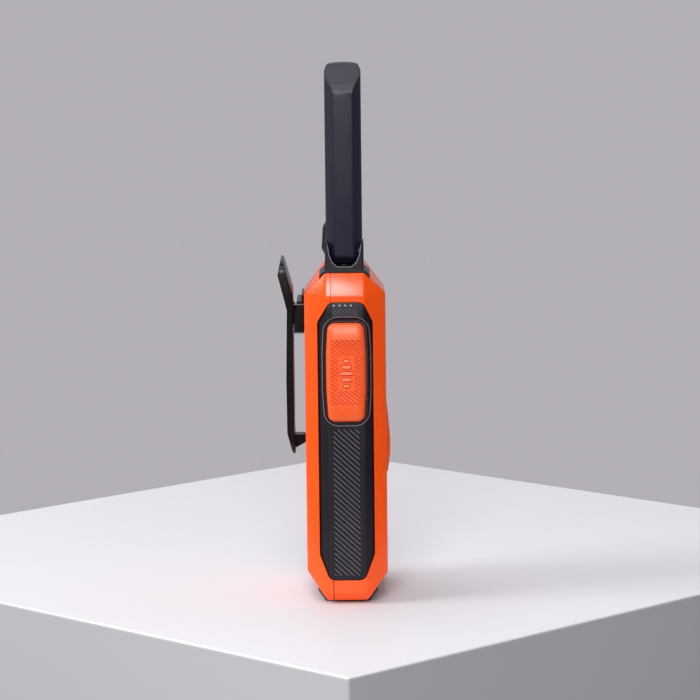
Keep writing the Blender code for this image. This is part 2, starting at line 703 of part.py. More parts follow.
def make_knob():
    """The volume knob on its shaft, with its collar in the housing and the encoder under it."""
    centre = (KNOB_X, KNOB_Y)
    bore = 3.4
    knob = turned("volume_knob", "Z", centre, [
        (0.0, KNOB_TOP), (KNOB_RADIUS - 2.2, KNOB_TOP), (KNOB_RADIUS - 0.7, KNOB_TOP - 2.6),
        (KNOB_RADIUS, KNOB_FOOT + 2.6), (KNOB_RADIUS - 1.3, KNOB_FOOT), (bore, KNOB_FOOT),
        (bore, KNOB_TOP - 3.0), (0.0, KNOB_TOP - 3.0),
    ], BLACK)
    shaft = rod("volume_shaft", "Z", centre, 3.0, (114.5, KNOB_TOP - 3.4), STEEL)
    cut(shaft, box("shaft_flat", (KNOB_X + 1.8, KNOB_X + 9.0), (-20.0, 20.0), (124.0, 140.0)))
    pivot("volume_axis", (KNOB_X, KNOB_Y, KNOB_FOOT), knob, shaft)
    turned("knob_collar", "Z", centre, [
        (COLLAR_RADIUS, COLLAR_TOP), (COLLAR_RADIUS, 112.6), (bore, 112.6), (bore, COLLAR_TOP),
    ], DARK)
    encoder = box("volume_encoder", (KNOB_X - 6.0, KNOB_X + 6.0), (-4.6, 5.4), (107.6, 112.2), STEEL)
    join(encoder, rod("encoder_bush", "Z", centre, 2.9, (112.0, 114.1)))


# ---------------------------------------------------------------- front face


def window_outline(by):
    outline = [
        (-13.5, 75.0), (13.5, 75.0), (PANEL_HALF, 79.0), (PANEL_HALF, 98.0), (13.5, 101.5), (-13.5, 101.5),
        (-PANEL_HALF, 98.0), (-PANEL_HALF, 79.0),
    ]
    return grown(outline, by)


def grille_outline(by):
    outline = [
        (-10.0, 12.6), (10.0, 12.6), (16.0, 20.0), (16.0, 34.0), (10.0, 41.0), (-10.0, 41.0), (-16.0, 34.0),
        (-16.0, 20.0),
    ]
    return grown(outline, by)


def make_front_pieces():
    """What sits in the front face and behind it."""
    plate("lcd_window", "Y", window_outline(0.0), (-14.4, -13.5), GLASS)
    module = box("lcd_module", (-14.2, 14.2), (-12.2, -9.6), (78.4, 98.2), BOARD)
    for x in (-13.2, 13.2):
        for z in (79.4, 97.2):
            leg = box(f"lcd_leg_{x:.0f}_{z:.0f}", (x - 0.8, x + 0.8), (-10.0, -4.6), (z - 0.8, z + 0.8))
            join(module, leg)
    rod("status_light", "Y", (0.0, 104.5), 1.2, (-14.6, -4.6), LIGHT, sides=12)
    rod("microphone", "Y", (13.0, 42.0), 2.2, (-12.2, -4.6), RUBBER, sides=12)
    grille = plate("speaker_grille", "Y", grille_outline(0.0), (-14.4, -13.7), BLACK)
    outermost = 3
    for row in range(-outermost, outermost + 1):
        z = GRILLE_Z + row * 3.2
        half = 9.6 if abs(row) < outermost else 6.6
        cut(grille, box(f"grille_slot_{row}", (-half, half), (-20.0, -5.0), (z - 0.6, z + 0.6)))
    for name in KEYS:
        make_key(name)
    box("keypad_mat", (-15.5, 15.5), (-9.9, -9.0), (44.6, 70.0), RUBBER)
    box("keypad_board", (-15.5, 15.5), (-8.7, -7.7), (44.6, 70.0), BOARD)
    box("board_connector", (-6.0, 6.0), (-7.4, -4.6), (52.0, 56.0), DARK)
    make_speaker()


def make_key(name):
    """A key that follows the plateau's surface, with a flange behind the wall."""
    key = plate(name, "Y", key_outline(name), (-17.0, -11.4), GRIP)
    surface = [(-11.0, 40.0), (-14.95, 45.8), (-15.75, 53.5), (-15.75, 58.7), (-14.65, 70.8), (-11.0, 76.0)]
    keep(key, plate(name + "_surface", "X", surface[::-1], (-30.0, 30.0)))
    join(key, plate(name + "_flange", "Y", grown(key_outline(name), 0.9), (-12.1, KEY_BACK_Y)))
    (x, z), outline = KEYS[name]
    pivot(name + "_slide", (x, KEY_BACK_Y, z), key)


def make_speaker():
    """The speaker: a basket with a flange, the cone in it and the magnet behind."""
    here = (0.0, GRILLE_Z)
    turned("speaker_frame", "Y", here, [
        (13.6, 12.2), (13.6, 11.0), (12.9, 10.2), (8.4, 6.4), (7.2, 6.4), (7.2, 7.4), (12.6, 10.9),
        (12.6, 12.2),
    ], STEEL)
    turned("speaker_cone", "Y", here, [
        (0.0, 9.9), (3.4, 9.9), (12.2, 12.1), (12.2, 11.6), (3.4, 9.4), (0.0, 9.4),
    ], PAPER)
    rod("speaker_magnet", "Y", here, 6.8, (-7.6, -4.7), STEEL, sides=24)


# ---------------------------------------------------------------- inside


def make_board():
    """The main circuit board with a tab that carries the two sockets, and its shield can."""
    tab = 22.0
    outline = [
        (-BOARD_HALF, 14.0), (BOARD_HALF, 14.0), (BOARD_HALF, 73.0), (tab, 73.0), (tab, 97.0),
        (BOARD_HALF, 97.0), (BOARD_HALF, 107.0), (-BOARD_HALF, 107.0),
    ]
    plate("main_pcb", "Y", outline, (BOARD_FRONT_Y, BOARD_REAR_Y), BOARD)
    can = box("rf_shield", (-14.0, 12.0), (-2.8, 0.0), (58.0, 80.0), STEEL)
    cut(can, box("shield_hollow", (-13.6, 11.6), (-5.0, -0.4), (58.4, 79.6)))
    socket = box("usb_socket", (18.8, 25.8), (-2.8, 0.8), (85.8, 95.2), STEEL)
    cut(socket, box("usb_hollow", (20.4, 30.0), (-2.3, 0.3), (86.3, 94.7)))
    jack = rod("headset_jack", "X", (-0.4, 79.0), 2.3, (18.8, 25.8), BRASS)
    cut(jack, rod("jack_bore", "X", (-0.4, 79.0), 1.35, (20.0, 30.0), sides=12))


def make_battery():
    """The battery pack and what closes the bay: door, seal and latch."""
    box("battery_pack", (-16.7, 16.7), (2.0, 11.2), (13.5, 82.0), CELL)
    for x, tag in ((-8.0, "plus"), (8.0, "minus")):
        box(f"battery_contact_{tag}", (x - 2.0, x + 2.0), (3.0, 9.0), (82.4, 86.1), BRASS)
    seal = box("door_seal", (-16.8, 16.8), (11.6, 12.3), (13.4, 86.1), RUBBER)
    cut(seal, box("seal_middle", (-15.4, 15.4), (5.0, 20.0), (14.8, 84.7)))
    door = body_block("battery_door", 0.0, surface=ORANGE)
    keep(door, box("door_limits", (-DOOR_HALF, DOOR_HALF), (DOOR_FRONT_Y, 40.0), (DOOR_FOOT, DOOR_TOP)))
    pivot("door_slide", (0.0, DOOR_FRONT_Y, DOOR_TOP), door)
    latch = box("door_latch", (-5.3, 5.3), (13.5, 14.5), (90.5, 94.1), BLACK)
    pivot("latch_slide", (0.0, 13.5, 90.5), latch)


def make_port_cover():
    """The rubber flap over the sockets. Its hinge edge is cut back, so that it swings clear of the wall."""
    outline = [(26.5, -5.8), (28.6, -5.8), (28.6, 5.8), (28.0, 5.8), (26.5, 3.6)]
    flap = plate("port_cover", "Z", outline, (72.0, 98.0), GRIP)
    pivot("port_hinge", (28.3, 5.7, 85.0), flap)


# ---------------------------------------------------------------- belt clip and screws


def make_clip():
    """The belt clip on its bracket: it turns on a pin and a spring holds its tooth against the door."""
    clip = plate("belt_clip", "X", CLIP_PROFILE, (-CLIP_HALF, CLIP_HALF), BLACK)
    ends = [(-CLIP_HALF, 52.2), (CLIP_HALF, 52.2), (CLIP_HALF, 123.2), (-CLIP_HALF, 123.2)]
    keep(clip, plate("clip_ends", "Y", rounded(ends, CLIP_CORNER, 4), (10.0, 30.0)))
    join(clip, plate("clip_tooth", "X", TOOTH_PROFILE, (-TOOTH_HALF, TOOTH_HALF)))
    join(clip, box("belt_pad", (-11.0, 11.0), (PAD_Y, 19.4), (63.0, 95.0)))
    nose = 1.8
    lug = [(19.6, 98.6)]
    for step in range(7):
        angle = math.radians(-20.0 - 200.0 * step / 6)
        lug.append((PIN_Y + nose * math.sin(angle), PIN_Z - nose * math.cos(angle)))
    lug.append((19.6, 107.4))
    for x in (-LUG_X, LUG_X):
        join(clip, plate(f"clip_lug_{x:.0f}", "X", lug[::-1], (x - LUG_HALF, x + LUG_HALF)))
    cut(clip, rod("clip_pin_way", "X", (PIN_Y, PIN_Z), PIN_RADIUS + GAP, (-20.0, 20.0)))
    side = [
        (14.8, 96.2), (18.2, 96.2), (18.2, 104.5), (17.5, 107.9), (15.6, 107.9), (15.6, 110.2), (14.8, 110.2),
    ]
    bracket = plate("clip_bracket", "X", side, (-BRACKET_HALF, BRACKET_HALF), BLACK)
    cut(bracket, rod("bracket_pin_way", "X", (PIN_Y, PIN_Z), PIN_RADIUS + GAP, (-20.0, 20.0)))
    cut(bracket, box("spring_way", (-3.6, 3.6), (10.0, 30.0), (101.1, 104.9)))
    for x in (-LUG_X, LUG_X):
        slot = (x - LUG_HALF - GAP, x + LUG_HALF + GAP)
        cut(bracket, box(f"lug_way_{x:.0f}", slot, (10.0, 30.0), (97.6, 107.2)))
    for x, tag in ((-CLIP_SCREW_X, "left"), (CLIP_SCREW_X, "right")):
        here = (x, CLIP_SCREW_Z)
        cut(bracket, rod(f"bracket_screw_way_{tag}", "Y", here, 1.2, (10.0, 30.0)))
        cut(bracket, rod(f"bracket_head_way_{tag}", "Y", here, 1.9, (16.4, 30.0)))
        make_screw(f"clip_screw_{tag}", here, 1.6, (16.7, 17.9), 11.0)
    rod("clip_pin", "X", (PIN_Y, PIN_Z), PIN_RADIUS, (-BRACKET_HALF + 0.4, BRACKET_HALF - 0.4), STEEL)
    make_helix("clip_spring", (PIN_Y, PIN_Z), 1.45, 0.22, (-3.2, 3.2), 6, "X", STEEL, 8)
    pivot("clip_axis", (0.0, PIN_Y, PIN_Z), clip)


def make_screw(name, place, head_radius, head, tip_y):
    """A pan head screw along Y with a cross recess, and a plain shank."""
    screw = rod(name, "Y", place, head_radius, head, STEEL, sides=12)
    join(screw, rod(name + "_shank", "Y", place, 0.9, (tip_y, head[0] + 0.3), sides=10))
    slot = head_radius * 0.62
    for a, b in ((slot, 0.25), (0.25, slot)):
        x, z = place
        cut(screw, box(f"{name}_slot_{a:.1f}", (x - a, x + a), (head[1] - 0.5, head[1] + 2.0), (z - b, z + b)))
    return screw


def make_housing_screws():
    number = 0
    for z in SCREW_ZS:
        for x in (-SCREW_X, SCREW_X):
            number += 1
            make_screw(f"housing_screw_{number}", (x, z), 1.35, (13.2, 14.2), -1.5)


def main():
    clear_scene()
    make_front_housing()
    make_rear_housing()
    for side, tag in ((-1, "left"), (1, "right")):
        make_grip(f"{tag}_grip_front", side, True)
        make_grip(f"{tag}_grip_rear", side, False)
    make_bumper()
    make_ptt()
    make_antenna_base()
    make_antenna()
    make_knob()
    make_front_pieces()
    make_board()
    make_battery()
    make_port_cover()
    make_clip()
    make_housing_screws()
    bpy.context.view_layer.update()


main()
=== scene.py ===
"""The looks of a handheld two way radio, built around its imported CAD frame.

Shapes are given in millimetres and MM turns them into metres. The row's frame is the CAD's: +Z is up, the
front with the keys and the speaker faces -Y, the belt clip is at +Y, and the antenna and the push-to-talk
button are on the -X side.
"""

import json
import math

import bmesh
import bpy
from mathutils import Matrix, Vector

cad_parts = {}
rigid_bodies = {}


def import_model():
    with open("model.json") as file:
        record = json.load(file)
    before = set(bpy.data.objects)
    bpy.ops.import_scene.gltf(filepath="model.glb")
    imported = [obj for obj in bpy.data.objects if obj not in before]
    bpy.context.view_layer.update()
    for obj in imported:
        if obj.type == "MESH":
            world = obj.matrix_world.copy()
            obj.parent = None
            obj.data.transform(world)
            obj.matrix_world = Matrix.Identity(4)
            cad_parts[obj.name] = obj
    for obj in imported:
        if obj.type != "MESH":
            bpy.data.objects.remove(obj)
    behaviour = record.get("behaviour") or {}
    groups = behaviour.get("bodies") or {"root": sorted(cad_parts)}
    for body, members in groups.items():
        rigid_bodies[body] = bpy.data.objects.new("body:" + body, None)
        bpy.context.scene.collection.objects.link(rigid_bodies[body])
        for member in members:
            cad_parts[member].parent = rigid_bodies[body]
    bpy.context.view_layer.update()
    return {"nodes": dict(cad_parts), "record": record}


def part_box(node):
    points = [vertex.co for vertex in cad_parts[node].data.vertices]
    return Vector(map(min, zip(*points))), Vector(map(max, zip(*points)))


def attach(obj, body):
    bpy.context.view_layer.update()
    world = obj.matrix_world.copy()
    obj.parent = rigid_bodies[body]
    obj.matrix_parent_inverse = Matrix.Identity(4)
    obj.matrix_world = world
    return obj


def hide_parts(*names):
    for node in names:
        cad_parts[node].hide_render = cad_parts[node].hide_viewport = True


for old in list(bpy.data.objects):
    bpy.data.objects.remove(old, do_unlink=True)

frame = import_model()

MM = 0.001


def low_mm(node):
    """The lowest corner of a CAD node, in millimetres."""
    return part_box(node)[0] / MM


def high_mm(node):
    """The highest corner of a CAD node, in millimetres."""
    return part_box(node)[1] / MM


def corners_mm(node):
    """Both corners of a CAD node, in millimetres."""
    return low_mm(node), high_mm(node)


# ---- sizes

# The faceted body, as in the CAD
HALF_WIDTH = 28.0
HALF_DEPTH = high_mm("rear_housing").y
BODY_BOTTOM = low_mm("front_housing").z
BODY_TOP = high_mm("front_housing").z
CORNER_X = 23.0
CORNER_Y = 7.0
SIDE_TOP_Z = 111.3
SIDE_TOP_X = 26.3
FACE_TOP_Z = 112.2
FACE_TOP_Y = 7.1
FACE_TOP_FALL = 2.5 / 46.0
FACE_FOOT_Z = {-1: 10.8, 1: 11.6}
FACE_FOOT_Y = 7.2
SIDE_FOOT_Z = 4.0
SIDE_FOOT_X = 26.0
WALL = 2.0
SIDE_WALL = 3.0
PARTING_Y = 5.0
GAP = 0.3
SEAM = 0.05  # half the open line between the two housings; it is wider towards the foot
FOOT_SEAM = 0.13
FACET_ROUND = 0.55

# Side grips
GRIP_HALF = 9.8
GRIP_DEPTH = 1.6
GRIP_SUNK = 0.35
GRIP_OUTLINE = [
    (-6.2, 8.9), (6.2, 8.9), (GRIP_HALF, 18.0), (GRIP_HALF, 102.0), (5.6, 109.2), (-6.4, 109.2),
    (-GRIP_HALF, 102.0), (-GRIP_HALF, 18.0),
]
GRIP_CORNER = 3.0
RIM_WIDTH = 0.8
RIM_PROUD = 0.2
RIB_SLOPE = math.tan(math.radians(42.5))  # the ribs fall towards the front
RIB_PITCH = 1.927
RIB_BAND = (-4.75, 4.6)
RIB_FOOT = 10.6
RIB_TOP = 106.8
RIB_GROOVE = 1.15
RIB_CREST = 0.32
FINE_PITCH = 1.23  # the fine ribs above the button
FINE_CREST = 0.22
PIP_Z = 108.15
PIP_PITCH = 2.03
PIP_RADIUS = 0.36
DOT_PITCH = 2.2  # the column of dots on the rear grips
DOT_RADIUS = 0.28

# Push-to-talk button
PTT_OUTLINE = [
    (-6.8, 66.5), (6.0, 66.5), (6.7, 78.0), (6.7, 91.0), (6.0, 102.4), (-6.8, 102.4), (-7.5, 91.0),
    (-7.5, 78.0),
]
CAP_OUTLINE = [
    (-6.5, 66.5), (6.1, 66.5), (6.8, 78.0), (6.8, 91.0), (6.1, 101.8), (-6.5, 101.8), (-7.2, 91.0),
    (-7.2, 78.0),
]
PTT_CORNER = 2.6
PTT_Y = -0.4
PTT_Z = 83.95
PTT_SLOPE = math.tan(math.radians(38.0))
PTT_TOP_X = low_mm("ptt_button").x
POCKET_X = 26.2  # floor of the pockets in both sides
GROOVE_PITCH = 1.43
GROOVE_WIDTH = 0.62
BAR_LENGTHS = (1.9, 3.4, 4.7, 3.4, 1.9)
BAR_PITCH = 2.25
BAR_HALF = 0.5

# Battery bay and door
BAY_HALF = 17.2
BAY_FRONT_Y = 1.5
BAY_FOOT = 13.0
BAY_TOP = 86.5
BAY_WALL = 1.2
DOOR_LOW, DOOR_HIGH = corners_mm("battery_door")

# Antenna and its cradle
ANTENNA_LOW, ANTENNA_HIGH = corners_mm("antenna_cover")
ANTENNA_HALF = ANTENNA_HIGH.y
ANTENNA_X = (ANTENNA_LOW.x + ANTENNA_HIGH.x) / 2
ANTENNA_FLAT = 3.4
ANTENNA_FACET = 3.2
TIP_Z = 181.9  # foot of the slanted facet at the tip
TIP_CURVE = 4.6  # height over which the facet bends away
TIP_SLOPE = 1.69  # its rise for each millimetre inwards
STUD_HOLE = 2.4
CRADLE_HALF = 6.9
SKIRT_HALF = 9.0
SKIRT_PROUD = 0.9
SMILE = [
    (-2.6, 121.7), (2.6, 121.7), (4.3, 123.4), (5.3, 126.0), (6.3, 133.0), (-6.3, 133.0), (-5.3, 126.0),
    (-4.3, 123.4),
]  # the U that opens the near and far sides of the antenna's base
SMILE_CORNER = 1.9

# Volume knob
KNOB_LOW, KNOB_HIGH = corners_mm("volume_knob")
KNOB_CENTRE = ((KNOB_LOW.x + KNOB_HIGH.x) / 2, (KNOB_LOW.y + KNOB_HIGH.y) / 2)
KNOB_RADIUS = (KNOB_HIGH.x - KNOB_LOW.x) / 2
KNOB_BORE = 3.4

# Front face and sockets: places as (x, z) on the front, and as (y, z) on the side
SPEAKER = (0.0, 27.0)
MICROPHONE = (13.0, 42.0)
STATUS_LIGHT = (0.0, 104.5)
JACK = (-0.4, 79.0)
PORT_CORNER = 1.2
PANEL_CORNER = 1.4
SLOT_PITCH = 2.9
SLOT_ROW = 2.2
KEY_CORNER = 0.9
KEYS = {
    "menu": ((-10.0, 57.5), [(-3.2, -4.2), (2.6, -3.2), (2.6, 3.2), (-3.2, 4.2)]),
    "call": ((10.0, 57.5), [(-2.6, -3.2), (3.2, -4.2), (3.2, 4.2), (-2.6, 3.2)]),
    "up": ((0.0, 65.8), [(-3.2, -2.0), (3.2, -2.0), (4.4, 2.2), (-4.4, 2.2)]),
    "down": ((0.0, 49.4), [(-4.4, -2.2), (4.4, -2.2), (3.2, 2.0), (-3.2, 2.0)]),
    "power": ((0.0, 57.5), [(-3.4, -3.4), (3.4, -3.4), (3.4, 3.4), (-3.4, 3.4)]),
}

# Belt clip and screws
CLIP_LOW, CLIP_HIGH = corners_mm("belt_clip")
PIN = (16.6, 103.0)  # (y, z)
PIN_HOLE = 1.2
LUG_XS = (-7.75, 7.75)
LUG_NOSE = 1.8
SCREWS = ("housing_screw_1", "housing_screw_2", "housing_screw_3", "housing_screw_4", "clip_screw_left",
          "clip_screw_right")
SCREW_PLACES = [(x, z) for x in (-20.6, 20.6) for z in (22.0, 100.0)]
CLIP_SCREW_PLACES = [(-4.2, 98.9), (4.2, 98.9)]
SCREW_HOLE = 1.2
BOSS_RADIUS = 1.95

# Spans that reach past the radio, through one wall or right through
LEFT_WALL = (-40.0, -20.0)
RIGHT_WALL = (20.0, 40.0)
FRONT_WALL = (-20.0, -5.0)
BACK_SIDE = (10.0, 30.0)
THROUGH = (-20.0, 20.0)
ALL_X = (-60.0, 60.0)

# Room, lights and camera, in metres, watts and degrees
FLOOR_CORNERS = [(0.307, 0.0), (0.082, 0.225), (-0.143, 0.0), (0.082, -0.225)]
WALL_SIDE = (0.86, 0.40, 0.30)  # the direction in which the wall is brightest
WALL_COLOUR = (0.455, 0.435, 0.465, 1.0)
BODY_MIDDLE = (0.0, 0.0, 0.09)
LIGHTS = [  # name, place, target, size and power
    ("key_light", (-0.25, 1.0, 0.75), BODY_MIDDLE, (0.5, 0.7), 8.0),
    ("top_light", (0.3, 0.25, 1.2), BODY_MIDDLE, (0.8, 0.8), 4.2),
    ("front_light", (-1.3, 0.10, 0.57), BODY_MIDDLE, (0.5, 0.32), 10.5),
    ("tip_light", (-0.85, 0.05, 1.15), (0.0, 0.0, 0.18), (0.35, 0.35), 4.2),
]
CAMERA_PLACE = (-1.1619, -0.0017, 0.2387)
CAMERA_LENS = 165.3
CAMERA_PITCH = 7.36
CAMERA_ROLL = -0.63


# ---- material helpers


def preset(node, **values):
    """Sets a node's inputs by name, with _ for a space."""
    for key, value in values.items():
        node.inputs[key.replace("_", " ")].default_value = value
    return node


class Nodes:
    """Builds a material's node tree, one call a node."""

    def __init__(self, name):
        self.material = bpy.data.materials.new(name)
        self.material.use_nodes = True
        self.tree = self.material.node_tree
        self.shader = self.tree.nodes["Principled BSDF"]
        self.place = self.add("ShaderNodeTexCoord").outputs["Object"]

    def add(self, kind, links=(), **values):
        """A node with its settings given by name; links are (input, output socket) pairs."""
        node = self.tree.nodes.new(kind)
        for key, value in values.items():
            setattr(node, key, value)
        for key, socket in links:
            self.tree.links.new(socket, node.inputs[key])
        return node

    def noise(self, scale, detail=3.0, roughness=0.5, stretch=None):
        """Noise over the piece, stretched along its axes if asked."""
        place = self.place
        if stretch:
            mapping = self.add("ShaderNodeMapping", [("Vector", self.place)])
            place = preset(mapping, Scale=stretch).outputs["Vector"]
        node = self.add("ShaderNodeTexNoise", [("Vector", place)])
        return preset(node, Scale=scale, Detail=detail, Roughness=roughness).outputs["Fac"]

    def ranged(self, socket, low, high, from_low=0.3, from_high=0.7):
        """Takes a value from one range to the range between low and high."""
        node = self.add("ShaderNodeMapRange", [("Value", socket)])
        return preset(node, From_Min=from_low, From_Max=from_high, To_Min=low, To_Max=high).outputs["Result"]

    def mixed(self, factor, first, second):
        """A colour mix; first and second are colours or sockets."""
        node = self.add("ShaderNodeMix", [(0, factor)], data_type="RGBA")
        for index, value in ((6, first), (7, second)):
            if isinstance(value, bpy.types.NodeSocket):
                self.tree.links.new(value, node.inputs[index])
            else:
                node.inputs[index].default_value = (*value, 1.0)
        return node.outputs[2]

    def bump(self, height, depth, strength=1.0, under=None):
        """A bump of the given depth in millimetres, on top of another normal."""
        node = self.add("ShaderNodeBump", [("Height", height)])
        preset(node, Distance=depth * MM, Strength=strength)
        if under:
            self.tree.links.new(under, node.inputs["Normal"])
        return node.outputs["Normal"]

    def soft_edges(self, radius):
        """A normal that rounds edges by a radius in millimetres."""
        return preset(self.add("ShaderNodeBevel", samples=6), Radius=radius * MM).outputs["Normal"]

    def finish(self, colour, roughness, normal, **constants):
        """The finished material; constants are further inputs of its shader."""
        for key, value in (("Base Color", colour), ("Roughness", roughness), ("Normal", normal)):
            if isinstance(value, bpy.types.NodeSocket):
                self.tree.links.new(value, self.shader.inputs[key])
            else:
                self.shader.inputs[key].default_value = (*value, 1.0) if key == "Base Color" else value
        preset(self.shader, **constants)
        return self.material


def moulded(name, colour, roughness, grain=0.25, depth=0.012, edge=0.12, spread=0.06, **constants):
    """Moulded plastic or rubber: fine spark-eroded grain, slightly uneven colour and gloss, soft edges, and
    paler marks where hands rub it."""
    made = Nodes(name)
    fine = made.noise(1.0 / (grain * MM), 2.0, 0.6)
    cloud = made.noise(45.0, 4.0)
    smear = made.noise(160.0, 5.0, 0.7, (1.0, 1.0, 0.35))
    dark = tuple(part * (1.0 - spread) for part in colour)
    light = tuple(min(1.0, part * (1.0 + spread) + 0.001) for part in colour)
    tint = made.mixed(made.ranged(cloud, 0.0, 1.0), dark, light)
    rub = made.ranged(smear, 0.0, 0.25, 0.62, 0.8)
    tint = made.mixed(rub, tint, tuple(min(1.0, part * 1.2 + 0.003) for part in colour))
    rough = made.ranged(smear, roughness - 0.05, roughness + 0.05)
    normal = made.bump(fine, depth, 0.6, made.soft_edges(edge))
    return made.finish(tint, rough, normal, **constants)


def metal(name, colour, roughness):
    """Plated metal, finely grained, with a little tarnish."""
    made = Nodes(name)
    lines = made.noise(900.0, 4.0, 0.6)
    tarnish = made.noise(220.0, 4.0)
    tint = made.mixed(made.ranged(tarnish, 0.0, 0.35), colour, tuple(part * 0.6 for part in colour))
    normal = made.bump(lines, 0.01, 0.5, made.soft_edges(0.06))
    return made.finish(tint, made.ranged(lines, roughness - 0.06, roughness + 0.1), normal, Metallic=1.0)


def circuit_board(name):
    """Green solder mask with copper traces showing faintly under it and bright pads."""
    made = Nodes(name)
    cells = made.add("ShaderNodeTexVoronoi", [("Vector", made.place)], distance="MANHATTAN")
    distance = preset(cells, Scale=420.0).outputs["Distance"]
    trace = made.ranged(distance, 0.0, 1.0, 0.28, 0.34)
    tint = made.mixed(trace, (0.01, 0.12, 0.045), (0.02, 0.2, 0.08))
    pads = made.ranged(distance, 1.0, 0.0, 0.04, 0.07)
    tint = made.mixed(pads, tint, (0.75, 0.62, 0.3))
    return made.finish(tint, made.ranged(made.noise(300.0), 0.3, 0.45), made.bump(trace, 0.03))


def sleeve(name):
    """The shrink sleeve of the battery pack: one plain colour below and another above."""
    made = Nodes(name)
    split = made.add("ShaderNodeSeparateXYZ", [("Vector", made.place)])
    band = made.ranged(split.outputs["Z"], 0.0, 1.0, 0.0700, 0.0702)
    tint = made.mixed(band, (0.05, 0.07, 0.13), (0.45, 0.46, 0.48))
    crinkle = made.noise(260.0, 5.0)
    return made.finish(tint, made.ranged(crinkle, 0.25, 0.42), made.bump(crinkle, 0.05, 0.5))


def display_glass(name):
    """The reflective face of the blank display: grey-green with faint cells."""
    made = Nodes(name)
    split = made.add("ShaderNodeSeparateXYZ", [("Vector", made.place)])
    column = made.add("ShaderNodeMath", [(0, split.outputs["X"])], operation="PINGPONG")
    column.inputs[1].default_value = 0.00028
    line = made.ranged(column.outputs["Value"], 0.0, 1.0, 0.00002, 0.00006)
    tint = made.mixed(line, (0.13, 0.16, 0.13), (0.2, 0.24, 0.19))
    cloud = made.noise(90.0)
    tint = made.mixed(made.ranged(cloud, 0.0, 0.3), tint, (0.16, 0.19, 0.17))
    return made.finish(tint, made.ranged(cloud, 0.25, 0.35), made.bump(line, 0.004))


ORANGE = moulded("orange_plastic", (1.0, 0.090, 0.0), 0.25, 0.22, 0.008, 0.14, 0.03)
ORANGE_BUTTON = moulded("orange_button", (1.0, 0.118, 0.017), 0.40, 0.2, 0.010, 0.12, 0.03)
# A lighter copy of the button's orange: painted highlight on the raised bars.
ORANGE_MARK_LIT = moulded("button_mark_lit", (1.0, 0.21, 0.075), 0.40, 0.2, 0.006, 0.10, 0.03)
# Dark red that paints the shade in the gap round the push-to-talk button.
GAP_SHADE = moulded("painted_gap_shade", (0.075, 0.008, 0.006), 0.6, 0.2, 0.010, 0.10, 0.08)
GRIP = moulded("grip_rubber", (0.0065, 0.004, 0.0085), 0.44, 0.18, 0.020, 0.12, 0.10,
               Specular_IOR_Level=0.36)
# Pale grey that stands for thin highlights on rib crests, lips and edges: painted highlight.
PAINTED_HIGHLIGHT = moulded("pale_painted_highlight", (0.165, 0.155, 0.182), 0.5, 0.18, 0.010, 0.08, 0.10)
# Pale grey on the pips' tops: painted highlight.
PIP_HIGHLIGHT = moulded("grip_pip_highlight", (0.42, 0.41, 0.44), 0.5, 0.18, 0.010, 0.08, 0.10)
SLEEVE = moulded("antenna_rubber", (0.013, 0.0105, 0.027), 0.40, 0.16, 0.014, 0.5, 0.08,
                 Specular_IOR_Level=0.4)
CRADLE = moulded("cradle_plastic", (0.010, 0.008, 0.010), 0.42, 0.16, 0.014, 0.16, 0.08,
                 Specular_IOR_Level=0.4)
BLACK = moulded("clip_black", (0.004, 0.003, 0.004), 0.30, 0.5, 0.006, 0.14, 0.10,
                Specular_IOR_Level=0.25)
KNOB = moulded("knob_black", (0.004, 0.003, 0.005), 0.36, 0.2, 0.012, 0.10, 0.10, Specular_IOR_Level=0.3)
FOOT = moulded("foot_rubber", (0.012, 0.012, 0.012), 0.75, 0.2, 0.03, 0.15, 0.10)
GLOSS = moulded("window_mask", (0.010, 0.011, 0.013), 0.08, 0.8, 0.002, 0.10, 0.05, Coat_Weight=0.5)
PALE = moulded("pale_mark", (0.62, 0.62, 0.60), 0.5, 0.2, 0.006, 0.05, 0.04)
FROST = moulded("light_pipe", (0.75, 0.8, 0.74), 0.3, 0.3, 0.01, 0.08, 0.05, Subsurface_Weight=0.3)
CONE = moulded("pressed_paper", (0.05, 0.048, 0.045), 0.9, 0.4, 0.05, 0.05, 0.15)
STEEL = metal("plated_steel", (0.62, 0.62, 0.64), 0.3)
BRASS = metal("bright_brass", (0.78, 0.55, 0.24), 0.28)
BOARD = circuit_board("circuit_board")
CELL = sleeve("battery_sleeve")
DISPLAY = display_glass("display_face")

SLOT_SURFACES = {
    "orange": ORANGE, "grip": GRIP, "foot": FOOT, "dark": CRADLE, "black": BLACK, "window": GLOSS,
    "light_pipe": FROST, "steel": STEEL, "brass": BRASS, "board": BOARD, "cell": CELL, "cone": CONE,
}


# ---- shape helpers


def shape_from(bm):
    """Turns a bmesh into an object that is not yet a piece, with its faces pointing out."""
    bmesh.ops.recalc_face_normals(bm, faces=bm.faces)
    mesh = bpy.data.meshes.new("shape")
    bm.to_mesh(mesh)
    bm.free()
    made = bpy.data.objects.new("shape", mesh)
    bpy.context.scene.collection.objects.link(made)
    return made


def box(x, y, z):
    """A block between the given limits."""
    bm = bmesh.new()
    size = Vector((x[1] - x[0], y[1] - y[0], z[1] - z[0])) * MM
    middle = Vector((sum(x), sum(y), sum(z))) * MM / 2
    bmesh.ops.create_cube(bm, size=1.0, matrix=Matrix.Translation(middle) @ Matrix.Diagonal((*size, 1.0)))
    return shape_from(bm)


def axis_frame(axis):
    """Takes an outline's own plane to the world: along X it is given as (y, z), along Y as (x, z), and
    along Z as (x, y)."""
    if axis == "X":
        return Matrix(((0, 0, 1), (1, 0, 0), (0, 1, 0))).to_4x4()
    if axis == "Y":
        return Matrix(((1, 0, 0), (0, 0, 1), (0, 1, 0))).to_4x4()
    return Matrix.Identity(4)


